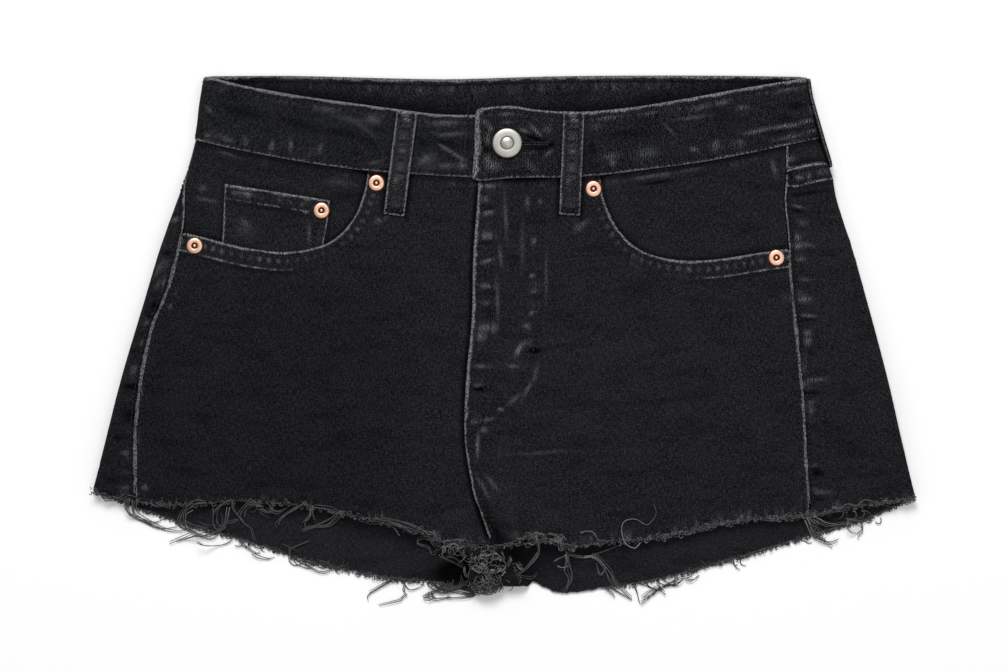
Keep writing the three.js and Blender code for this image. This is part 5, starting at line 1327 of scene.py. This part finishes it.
class Wire:
    """A number in a material; sums and products of wires add the material's Math nodes."""

    def __init__(self, shader, socket):
        self.shader, self.socket = shader, socket

    def math(self, operation, first, second=0.0):
        return self.shader.node("ShaderNodeMath", {"operation": operation}, {0: first, 1: second})

    def __add__(self, other):
        return self.math("ADD", self, other)

    def __sub__(self, other):
        return self.math("SUBTRACT", self, other)

    def __rsub__(self, other):
        return self.math("SUBTRACT", other, self)

    def __mul__(self, other):
        return self.math("MULTIPLY", self, other)

    def __truediv__(self, other):
        return self.math("DIVIDE", self, other)

    __radd__, __rmul__ = __add__, __mul__

    def most(self, other):
        return self.math("MAXIMUM", self, other)

    def sine(self):
        return self.math("SINE", self)

    def clear(self):
        return self.shader.node("ShaderNodeClamp", {}, {0: self})

    def between(self, low, high):
        """0 below low, 1 above high and smooth between."""
        return self.shader.node("ShaderNodeMapRange", {"interpolation_type": "SMOOTHSTEP"},
                                {"Value": self, "From Min": low, "From Max": high})


class Shader:
    """A material under construction, with one Principled surface."""

    def __init__(self, name):
        self.material = bpy.data.materials.new(name)
        self.material.use_nodes = True
        self.nodes, self.links = self.material.node_tree.nodes, self.material.node_tree.links
        self.nodes.clear()
        self.result = self.nodes.new("ShaderNodeOutputMaterial")
        self.surface = self.nodes.new("ShaderNodeBsdfPrincipled")
        self.links.new(self.surface.outputs[0], self.result.inputs["Surface"])

    def feed(self, socket, value):
        if isinstance(value, Wire):
            self.links.new(value.socket, socket)
        else:
            socket.default_value = value

    def node(self, kind, settings, inputs, output=0):
        made = self.nodes.new(kind)
        for key, value in settings.items():
            if key == "stops":
                for element, (place, colour) in zip(made.color_ramp.elements, value):
                    element.position, element.color = place, colour
            else:
                setattr(made, key, value)
        for key, value in inputs.items():
            self.feed(made.inputs[key], value)
        return Wire(self, made.outputs[output])

    def set(self, **values):
        for key, value in values.items():
            self.feed(self.surface.inputs[key.replace("_", " ")], value)
        return self.material

    def uv(self):
        return self.node("ShaderNodeUVMap", {"uv_map": "cloth"}, {})

    def attribute(self, name):
        return self.node("ShaderNodeAttribute", {"attribute_name": name}, {}, "Fac")

    def noise(self, where, scale, detail=2.0, stretch=(1, 1, 1), turn=0.0):
        place = self.node("ShaderNodeMapping", {}, {"Vector": where, "Scale": stretch, "Rotation": (0, 0, turn)})
        return self.node("ShaderNodeTexNoise", {}, {"Vector": place, "Scale": scale, "Detail": detail})

    def mix(self, factor, first, second):
        return self.node("ShaderNodeMix", {"data_type": "RGBA"}, {0: factor, 6: first, 7: second}, 2)

    def bump(self, height, distance, strength=1.0, under=None):
        inputs = {"Height": height, "Distance": distance, "Strength": strength}
        if under:
            inputs["Normal"] = under
        return self.node("ShaderNodeBump", {}, inputs)


def rgba(colour, times=1.0):
    return (*[min(1.0, c * times) for c in colour], 1.0)


def denim_material(looks):
    """Washed black twill: diagonal lines, pale flecks, grey wear on edges and puckers, and painted shade in hollows,
    grooves and beside edges.
    """
    s = Shader("washed_denim")
    uv = s.uv()
    split = s.nodes.new("ShaderNodeSeparateXYZ")
    s.links.new(uv.socket, split.inputs[0])
    x, y = Wire(s, split.outputs[0]), Wire(s, split.outputs[1])
    drift = s.noise(uv, 0.35, 2.0) * 3.0
    twill = ((x * 0.78 + y * 0.62 + drift) * (2 * math.pi / looks.twill_pitch)).sine() * 0.5 + 0.5
    warp = s.noise(uv, 1.0, 2.0, (1.5, 0.3, 1))
    weft = s.noise(uv, 1.0, 2.0, (0.4, 1.5, 1))
    grain = s.noise(uv, 0.95, 3.0)
    flecks = s.noise(uv, 1.25, 1.0, (1.0, 0.75, 1)).between(0.6, 0.74)
    broad = s.noise(uv, 0.05, 3.0)
    coarse = s.attribute("coarse")
    weave = twill * 0.06 + warp * 0.36 + weft * 0.26 + grain * 0.4 + (twill - 0.5) * 0.07 * coarse.most(0)
    weave = ((weave.between(0.4, 0.78) - 0.42) * (1 + coarse * 0.7) + 0.42).clear()
    body = s.mix(weave, rgba(looks.denim_dark), rgba(looks.denim_light))
    body = s.mix(flecks * 0.42, body, rgba(looks.worn, 0.4))
    body = s.mix(broad.between(0.35, 0.7) * 0.14, body, rgba(looks.denim_light, 0.8))
    bands = s.noise(uv, 0.07, 3.0, (0.5, 1.7, 1), 0.12)
    body = s.mix((1 - bands.between(0.3, 0.52)) * 0.3, body, rgba(looks.denim_dark, 0.6))
    # Where this field is positive the cloth is worn and lighter; where it is negative it is painted shade
    wash = s.attribute("wash")
    hatch = (weave * 0.7 + twill * 0.9 - 0.15).clear()
    body = s.mix((wash * hatch * 0.55).clear(), body, rgba(looks.worn, 0.8))
    # Painted shade: negative values darken the colour towards black
    body = s.mix((0 - wash * 0.6).clear(), body, rgba(looks.denim_dark, 0.5))
    edge = s.attribute("edge")
    broken = s.noise(uv, 0.75, 2.0).between(0.36, 0.62)
    worn = (1 - edge.between(0.45, 1.0)) * (grain * 0.5 + hatch * 0.75) * (broken * 0.95 + 0.35)
    body = s.mix(worn.clear(), body, rgba(looks.worn, 1.15))
    # Painted shade in the grooves that the stitch rows press into the cloth
    groove = 1 - s.attribute("groove").between(0.1, 0.8)
    body = s.mix(groove * 0.7, body, rgba(looks.denim_dark, 0.5))
    relief = twill * 0.5 + warp * 0.5 + grain * 0.6
    normal = s.bump(relief, 0.00025, 0.8)
    normal = s.bump(s.noise(uv, 0.22, 3.0), 0.0012, 0.35, normal)
    return s.set(Base_Color=body, Roughness=0.92, Normal=normal, Sheen_Weight=0.01, Sheen_Roughness=0.6,
                 Specular_IOR_Level=0.03)


def yarn_material(looks, name, colour, dark):
    """Twisted cotton yarn: slanting plies and uneven colour along its length."""
    s = Shader(name)
    uv = s.uv()
    split = s.nodes.new("ShaderNodeSeparateXYZ")
    s.links.new(uv.socket, split.inputs[0])
    x, y = Wire(s, split.outputs[0]), Wire(s, split.outputs[1])
    plies = ((x * 5.0 + y * (2 * math.pi)).sine()) * 0.5 + 0.5
    uneven = s.noise(uv, 0.5, 3.0, (1, 0, 1))
    own = s.attribute("shade")
    body = s.mix((plies * 0.55 + uneven * 0.9 + own - 0.87).clear(), rgba(dark), rgba(colour))
    return s.set(Base_Color=body, Roughness=0.9, Normal=s.bump(plies, 0.0001, 0.6), Specular_IOR_Level=0.08)


def metal_material(name, colour, roughness, tarnish):
    """Plated metal with fine scratches and darker tarnish in patches."""
    s = Shader(name)
    place = s.node("ShaderNodeTexCoord", {}, {}, "Object")
    cloud = s.noise(place, 420.0, 4.0)
    fine = s.noise(place, 2600.0, 2.0, (1, 0.2, 1), 0.6)
    body = s.mix(cloud.between(0.42, 0.72) * 0.35, rgba(colour), rgba(tarnish))
    rough = fine * 0.18 + cloud * 0.1 + (roughness - 0.12)
    return s.set(Base_Color=body, Metallic=1.0, Roughness=rough, Normal=s.bump(fine, 0.00003, 0.4))


def floor_material(looks):
    s = Shader("seamless_paper")
    place = s.node("ShaderNodeTexCoord", {}, {}, "Object")
    body = s.mix(s.noise(place, 3.0, 2.0) * 0.04, rgba(looks.floor), rgba(looks.floor, 0.97))
    return s.set(Base_Color=body, Roughness=0.9, Specular_IOR_Level=0.0)


def material_once(name, make):
    return bpy.data.materials.get(name) or make()


def deselect():
    for thing in bpy.context.selected_objects:
        thing.select_set(False)


def turned_disc(name, profile, sides, at, material):
    """A round metal piece by hand: a disc whose top is inset and drawn up step by step."""
    deselect()
    (r0, z0), steps = profile[0], profile[1:]
    bpy.ops.mesh.primitive_circle_add(vertices=sides, radius=r0 * MM, fill_type="NGON",
                                      location=((at + SHIFT) * MM + (0, 0, z0 * MM)))
    piece = bpy.context.object
    piece.name = name
    bpy.ops.object.mode_set(mode="EDIT")
    radius, height = r0, z0
    for r, z in steps:
        bpy.ops.mesh.extrude_region_move(TRANSFORM_OT_translate={"value": (0, 0, (z - height) * MM)})
        if abs(r - radius) > LEAST:
            bpy.ops.transform.resize(value=(r / radius, r / radius, 1))
        radius, height = r, z
    bpy.ops.mesh.select_all(action="SELECT")
    bpy.ops.mesh.normals_make_consistent(inside=False)
    bpy.ops.object.mode_set(mode="OBJECT")
    bpy.ops.object.transform_apply(location=True, rotation=True, scale=True)
    bevel = piece.modifiers.new("edges", "BEVEL")
    bevel.width, bevel.segments, bevel.limit_method = 0.12 * MM, 2, "ANGLE"
    bevel.angle_limit = math.radians(24)
    bpy.ops.object.modifier_apply(modifier=bevel.name)
    bpy.ops.object.shade_smooth_by_angle(angle=math.radians(40))
    piece.data.materials.append(material)
    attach(piece, "root")
    return piece


class ShortsLooks(bpy.types.PropertyGroup):
    """Colours and fine sizes of the shorts."""

    denim_dark: bpy.props.FloatVectorProperty(
        name="Denim dark", description="Colour of the warp", default=(0.0012, 0.00125, 0.0016),
        subtype="COLOR", min=0, max=1)
    denim_light: bpy.props.FloatVectorProperty(
        name="Denim light", description="Colour where the weft shows", default=(0.027, 0.0278, 0.032),
        subtype="COLOR", min=0, max=1)
    worn: bpy.props.FloatVectorProperty(
        name="Worn cloth", description="Colour of worn edges and puckers", default=(0.17, 0.173, 0.182),
        subtype="COLOR", min=0, max=1)
    thread: bpy.props.FloatVectorProperty(
        name="Thread", description="Colour of the topstitching", default=(0.035, 0.0355, 0.038),
        subtype="COLOR", min=0, max=1)
    yarn: bpy.props.FloatVectorProperty(
        name="Loose yarn", description="Colour of the frayed yarn", default=(0.23, 0.232, 0.24),
        subtype="COLOR", min=0, max=1)
    copper: bpy.props.FloatVectorProperty(
        name="Rivets", description="Colour of the rivets' plating", default=(0.76, 0.47, 0.35),
        subtype="COLOR", min=0, max=1)
    # Also the colour of the painted shadow ring round each rivet's foot
    recess: bpy.props.FloatVectorProperty(
        name="Rivets' hollows", description="Colour of the rivets' tarnished hollows", default=(0.09, 0.022, 0.01),
        subtype="COLOR", min=0, max=1)
    silver: bpy.props.FloatVectorProperty(
        name="Button", description="Colour of the button's plating", default=(0.42, 0.405, 0.375),
        subtype="COLOR", min=0, max=1)
    floor: bpy.props.FloatVectorProperty(
        name="Floor", description="Colour of the paper the shorts lie on", default=(0.88, 0.88, 0.88),
        subtype="COLOR", min=0, max=1)
    twill_pitch: bpy.props.FloatProperty(
        name="Twill pitch", description="Distance between the twill's lines, in millimetres", default=1.15,
        min=0.4, max=4)
    cell: bpy.props.FloatProperty(
        name="Cell", description="Mesh spacing of the front cloth, in millimetres", default=1.0, min=0.6, max=4)


class ShortsSizes(bpy.types.PropertyGroup):
    """Sizes of the sewn and metal pieces."""

    stitch_length: bpy.props.FloatProperty(
        name="Stitch length", description="Length of one topstitch", default=2.7 * MM, unit="LENGTH")
    stitch_pitch: bpy.props.FloatProperty(
        name="Stitch pitch", description="Distance between stitches", default=3.3 * MM, unit="LENGTH")
    thread_radius: bpy.props.FloatProperty(
        name="Thread radius", description="Radius of the topstitching thread", default=0.33 * MM, unit="LENGTH")
    yarn_radius: bpy.props.FloatProperty(
        name="Yarn radius", description="Radius of a loose yarn", default=0.38 * MM, unit="LENGTH")
    camera_distance: bpy.props.FloatProperty(
        name="Camera distance", description="Height of the camera over the shorts", default=2.0, unit="LENGTH")


def denim():
    looks = bpy.context.scene.shorts_looks
    return material_once("washed_denim", lambda: denim_material(looks))


def loose_yarn():
    looks = bpy.context.scene.shorts_looks
    return material_once("loose_yarn", lambda: yarn_material(
        looks, "loose_yarn", looks.yarn, [c * 0.2 for c in looks.yarn]))


class SHORTS_OT_front_panels(bpy.types.Operator):
    """Add the two front panels with their pocket scoops and fly"""

    bl_idname = "shorts.front_panels"
    bl_label = "Front panels"

    def execute(self, context):
        step = context.scene.shorts_looks.cell
        declare(front_panel(-1, denim(), step), "front_right")
        declare(front_panel(1, denim(), step), "front_left")
        return {"FINISHED"}


class SHORTS_OT_back_panels(bpy.types.Operator):
    """Add the back panels, yokes and back pockets, which the front lies on"""

    bl_idname = "shorts.back_panels"
    bl_label = "Back panels"

    def execute(self, context):
        step = context.scene.shorts_looks.cell
        for side, name in ((-1, "right"), (1, "left")):
            pocket = back_pocket(side, denim(), step * 3)
            declare(pocket, f"back_pocket_{name}")
            declare(back_panel(side, denim(), step * 1.5), f"back_{name}")
            declare(yoke(side, denim(), step * 1.2), f"yoke_{name}")
        return {"FINISHED"}


class SHORTS_OT_pockets(bpy.types.Operator):
    """Add the pocket facings and the coin pocket"""

    bl_idname = "shorts.pockets"
    bl_label = "Pocket facings"

    def execute(self, context):
        step = context.scene.shorts_looks.cell
        declare(facing(-1, denim(), step), "pocket_facing_right")
        declare(facing(1, denim(), step), "pocket_facing_left")
        declare(coin_pocket(denim(), step * 0.8), "coin_pocket")
        return {"FINISHED"}


class SHORTS_OT_waistband(bpy.types.Operator):
    """Add the waistband with its buttonhole"""

    bl_idname = "shorts.waistband"
    bl_label = "Waistband"

    def execute(self, context):
        step = context.scene.shorts_looks.cell
        declare(waistband(denim(), step), "waistband")
        return {"FINISHED"}


class SHORTS_OT_belt_loops(bpy.types.Operator):
    """Add the five belt loops"""

    bl_idname = "shorts.belt_loops"
    bl_label = "Belt loops"

    def execute(self, context):
        for piece in belt_loops(denim(), context.scene.shorts_looks.cell * 0.7):
            declare(piece, piece.name.replace("loop", "belt_loop"))
        return {"FINISHED"}


class SHORTS_OT_topstitching(bpy.types.Operator):
    """Sew the rows of topstitching that the cloth pieces ask for"""

    bl_idname = "shorts.topstitching"
    bl_label = "Topstitching"

    def execute(self, context):
        sizes, looks = context.scene.shorts_sizes, context.scene.shorts_looks
        paths = np.vstack([stitch_paths(sizes.stitch_length / MM, sizes.stitch_pitch / MM), tack_paths()])
        paths[..., 2] = np.maximum(paths[..., 2], 0.3)
        material = material_once("topstitch_thread", lambda: yarn_material(
            looks, "topstitch_thread", looks.thread, [c * 0.5 for c in looks.thread]))
        k = paths.shape[1]
        radii = np.tile(sizes.thread_radius / MM * np.array([0.35, 0.9, 1.0, 0.9, 0.35]), (len(paths), 1))
        points, faces = tubes(paths, radii, 4)
        uv = np.stack([np.repeat(np.arange(len(paths) * k) * 0.6, 4), np.tile(np.arange(4) / 4, len(paths) * k)], -1)
        piece = new_mesh_object("topstitching", points, faces, uv, {"shade": np.full(len(points), 0.5)}, material)
        return {"FINISHED"}


class SHORTS_OT_rivets(bpy.types.Operator):
    """Add the copper rivets at the pockets' corners"""

    bl_idname = "shorts.rivets"
    bl_label = "Rivets"

    def execute(self, context):
        looks = context.scene.shorts_looks
        material = metal_material("copper_plate", looks.copper, 0.38, [c * 0.7 for c in looks.copper])
        recess = metal_material("copper_recess", looks.recess, 0.5, [c * 0.3 for c in looks.recess])
        profile = [(5.2, -0.1), (5.2, 0.15), (4.75, 0.2), (4.72, 0.6), (4.5, 0.95), (4.1, 1.1), (2.4, 1.2), (1.95, 1.05), (1.75, 0.5),
                   (1.05, 0.45), (0.9, 0.9), (0.7, 1.1), (0.3, 1.2)]
        for name, x, y in RIVETS:
            low = np.array(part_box(name)[0]) / MM
            at = np.array([x, y, low[2]])
            piece = turned_disc(name.replace("rivet", "stud"), profile, 32, at, material)
            piece.data.materials.append(recess)
            centre = (at + SHIFT) * MM
            for face in piece.data.polygons:
                away = math.hypot(face.center.x - centre[0], face.center.y - centre[1]) / MM
                # The ring round the post has the dark tarnish of the rivet's hollow; the flat skirt past the rim gets
                # the same dark colour as a painted shadow round the rivet
                face.material_index = int(0.95 < away < 1.95 or away > 4.68)
            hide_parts(name)
        return {"FINISHED"}


class SHORTS_OT_button(bpy.types.Operator):
    """Add the fly button on its shank"""

    bl_idname = "shorts.button"
    bl_label = "Button"

    def execute(self, context):
        looks = context.scene.shorts_looks
        material = metal_material("silver_plate", looks.silver, 0.42, [c * 0.7 for c in looks.silver])
        recess = metal_material("silver_recess", [c * 0.3 for c in looks.silver], 0.5, [0.03, 0.03, 0.03])
        low, high = np.array(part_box("button")) / MM
        top = high[2] - low[2]
        profile = [(2.2, 0), (2.2, top - 2.7), (8.2, top - 2.7), (8.9, top - 2.1), (8.9, top - 1.3),
                   (8.5, top - 0.8), (7.9, top - 0.6), (4.3, top - 0.5), (4.0, top - 0.8), (3.65, top - 0.8),
                   (3.4, top - 0.35), (2.6, top - 0.25), (2.3, top - 0.1), (0.9, top)]
        piece = turned_disc("fly_button", profile, 56, np.array([*BUTTON_SEEN, low[2]]), material)
        piece.data.materials.append(recess)
        for face in piece.data.polygons:
            away = math.dist(face.center[:2], ((np.array([*BUTTON_SEEN, 0]) + SHIFT) * MM)[:2]) / MM
            face.material_index = int(3.6 < away < 4.05 and face.center.z > (low[2] + top - 1.5) * MM)
        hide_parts("button")
        return {"FINISHED"}


class SHORTS_OT_frayed_hems(bpy.types.Operator):
    """Fray the four cut hems"""

    bl_idname = "shorts.frayed_hems"
    bl_label = "Frayed hems"

    def execute(self, context):
        radius = context.scene.shorts_sizes.yarn_radius / MM
        yarn = loose_yarn()
        random = np.random.default_rng(5)

        def over_front(x, y):
            return front_height(np.array([x]), np.array([y]))[0]

        def over_floor(x, y):
            return 0.8

        right, left = front_hem[-1], front_hem[1]
        curl = curve(BIG_CURL, 2.4)
        curl = np.column_stack([curl, np.maximum(front_height(*curl.T) + 1.5, 7.5)])[None]
        high = ground(np.array([7.0]), np.array([-139.0]))[0] + 1.6
        pieces = [
            ("fray_front_right", "fringe_front_right", YARNS_FRONT_RIGHT, THREADS_FRONT_RIGHT, over_front,
             right, 0.8, [(-249, -180, 2.4, 3.2), (-180, -90, 1.9, 3.6), (-90, -40, 1.2, 3.2), (-40, -8, 3, 5)],
             [(clump_paths((-8, -134, 10.6), (13, 8, 1.4), 85, 14, random), radius * 0.85, 4, 0.3, 1),
              (clump_paths((7, -140, high), (6, 4, 1), 30, 13, random), radius * 0.85, 4, 0.3, 1),
              (clump_paths((-29, -127, 9), (9, 4, 1.5), 18, 12, random), radius * 0.85, 4, 0.3, 1)]),
            ("fray_front_left", "fringe_front_left", YARNS_FRONT_LEFT, THREADS_FRONT_LEFT, over_front, left,
             1, [(-8, 45, 3.2, 4.4), (45, 95, 2.6, 3.6), (95, 185, 4.2, 4), (185, 248, 3, 3.4)],
             [(curl, radius * 0.9, 5, 0.9, 1)]),
            ("fray_back_right", "fringe_back_right", YARNS_BACK_RIGHT, THREADS_BACK_RIGHT, over_floor,
             back_hem[-1], 0.22, [(-247, -190, 2.4, 2.6), (-190, -120, 2.4, 2.8), (-120, -31, 3.2, 3.4)],
             [(clump_paths((-11, -146, 6), (11, 6.5, 4.5), 150, 12, random), radius * 0.8, 4, 0, 0.8),
              (clump_paths((5, -144, 5), (5, 3, 1.5), 16, 10, random), radius * 0.8, 4, 0.2, 0.9)]),
            ("fray_back_left", "fringe_back_left", YARNS_BACK_LEFT, THREADS_BACK_LEFT, over_floor, back_hem[1],
             0.25, [(64, 110, 2, 2.6), (110, 180, 4, 2.8), (180, 248, 3, 2.6)], [])]
        for name, node, rows, traced, height, hem, top, spans, extra in pieces:
            groups = [(yarn_paths(rows, height, random), radius * 0.8, 4, 0.1 * top, top),
                      (traced_paths(traced, height, random), radius * 0.7, 5, 0.35 * top, top),
                      (fuzz_paths(hem, spans, height, random), radius * 0.68, 4, 0, 0.85 * top)] + extra
            piece = strands(name, groups, yarn, node)
        return {"FINISHED"}


class SHORTS_OT_stage(bpy.types.Operator):
    """Set the paper, the lights and the camera"""

    bl_idname = "shorts.stage"
    bl_label = "Stage"

    def execute(self, context):
        scene, looks = context.scene, context.scene.shorts_looks
        deselect()
        bpy.ops.mesh.primitive_plane_add(size=6, location=(0, 0, -0.0002))
        paper = context.object
        paper.name = "paper"
        bpy.ops.object.transform_apply(location=True)
        paper.data.materials.append(floor_material(looks))
        world = bpy.data.worlds.new("studio")
        world.use_nodes = True
        world.node_tree.nodes["Background"].inputs["Color"].default_value = (1, 1, 1, 1)
        world.node_tree.nodes["Background"].inputs["Strength"].default_value = 0.5
        scene.world = world
        for name, place, size, power in (("key", (-0.3, 2.1, 2.5), 1.2, 82), ("fill", (0.4, -0.2, 1.8), 1.2, 5)):
            light = bpy.data.lights.new(name, "AREA")
            light.size, light.energy = size, power
            lamp = bpy.data.objects.new(name, light)
            lamp.location = place
            lamp.rotation_euler = (-Vector(place)).to_track_quat("-Z", "Y").to_euler()
            scene.collection.objects.link(lamp)
        camera = bpy.data.cameras.new("camera")
        viewer = bpy.data.objects.new("camera", camera)
        distance = scene.shorts_sizes.camera_distance
        shown = 1008 * 0.6 * MM
        camera.sensor_width = 36
        camera.lens = 36 * (distance - LAID_HEIGHT * MM) / shown
        viewer.location = (SHIFT[0] * MM, (PHOTO_MIDDLE_Y + SHIFT[1]) * MM, distance)
        scene.collection.objects.link(viewer)
        scene.camera = viewer
        scene.view_settings.view_transform = "Standard"
        return {"FINISHED"}


class SHORTS_PT_pieces(bpy.types.Panel):
    """Lists the pieces of the shorts"""

    bl_label = "Denim shorts"
    bl_space_type = "VIEW_3D"
    bl_region_type = "UI"
    bl_category = "Shorts"

    def draw(self, context):
        for operator in OPERATORS:
            self.layout.operator(operator.bl_idname)
        for group in (context.scene.shorts_looks, context.scene.shorts_sizes):
            for name in group.__annotations__:
                self.layout.prop(group, name)


OPERATORS = (SHORTS_OT_back_panels, SHORTS_OT_pockets, SHORTS_OT_front_panels, SHORTS_OT_waistband,
             SHORTS_OT_belt_loops, SHORTS_OT_topstitching, SHORTS_OT_rivets, SHORTS_OT_button,
             SHORTS_OT_frayed_hems, SHORTS_OT_stage)
CLASSES = (ShortsLooks, ShortsSizes, *OPERATORS, SHORTS_PT_pieces)


def register():
    for kind in CLASSES:
        bpy.utils.register_class(kind)
    bpy.types.Scene.shorts_looks = bpy.props.PointerProperty(type=ShortsLooks)
    bpy.types.Scene.shorts_sizes = bpy.props.PointerProperty(type=ShortsSizes)


def unregister():
    del bpy.types.Scene.shorts_sizes
    del bpy.types.Scene.shorts_looks
    for kind in reversed(CLASSES):
        bpy.utils.unregister_class(kind)


def main():
    register()
    for operator in OPERATORS:
        group, name = operator.bl_idname.split(".")
        getattr(getattr(bpy.ops, group), name)()


if __name__ == "__main__":
    main()
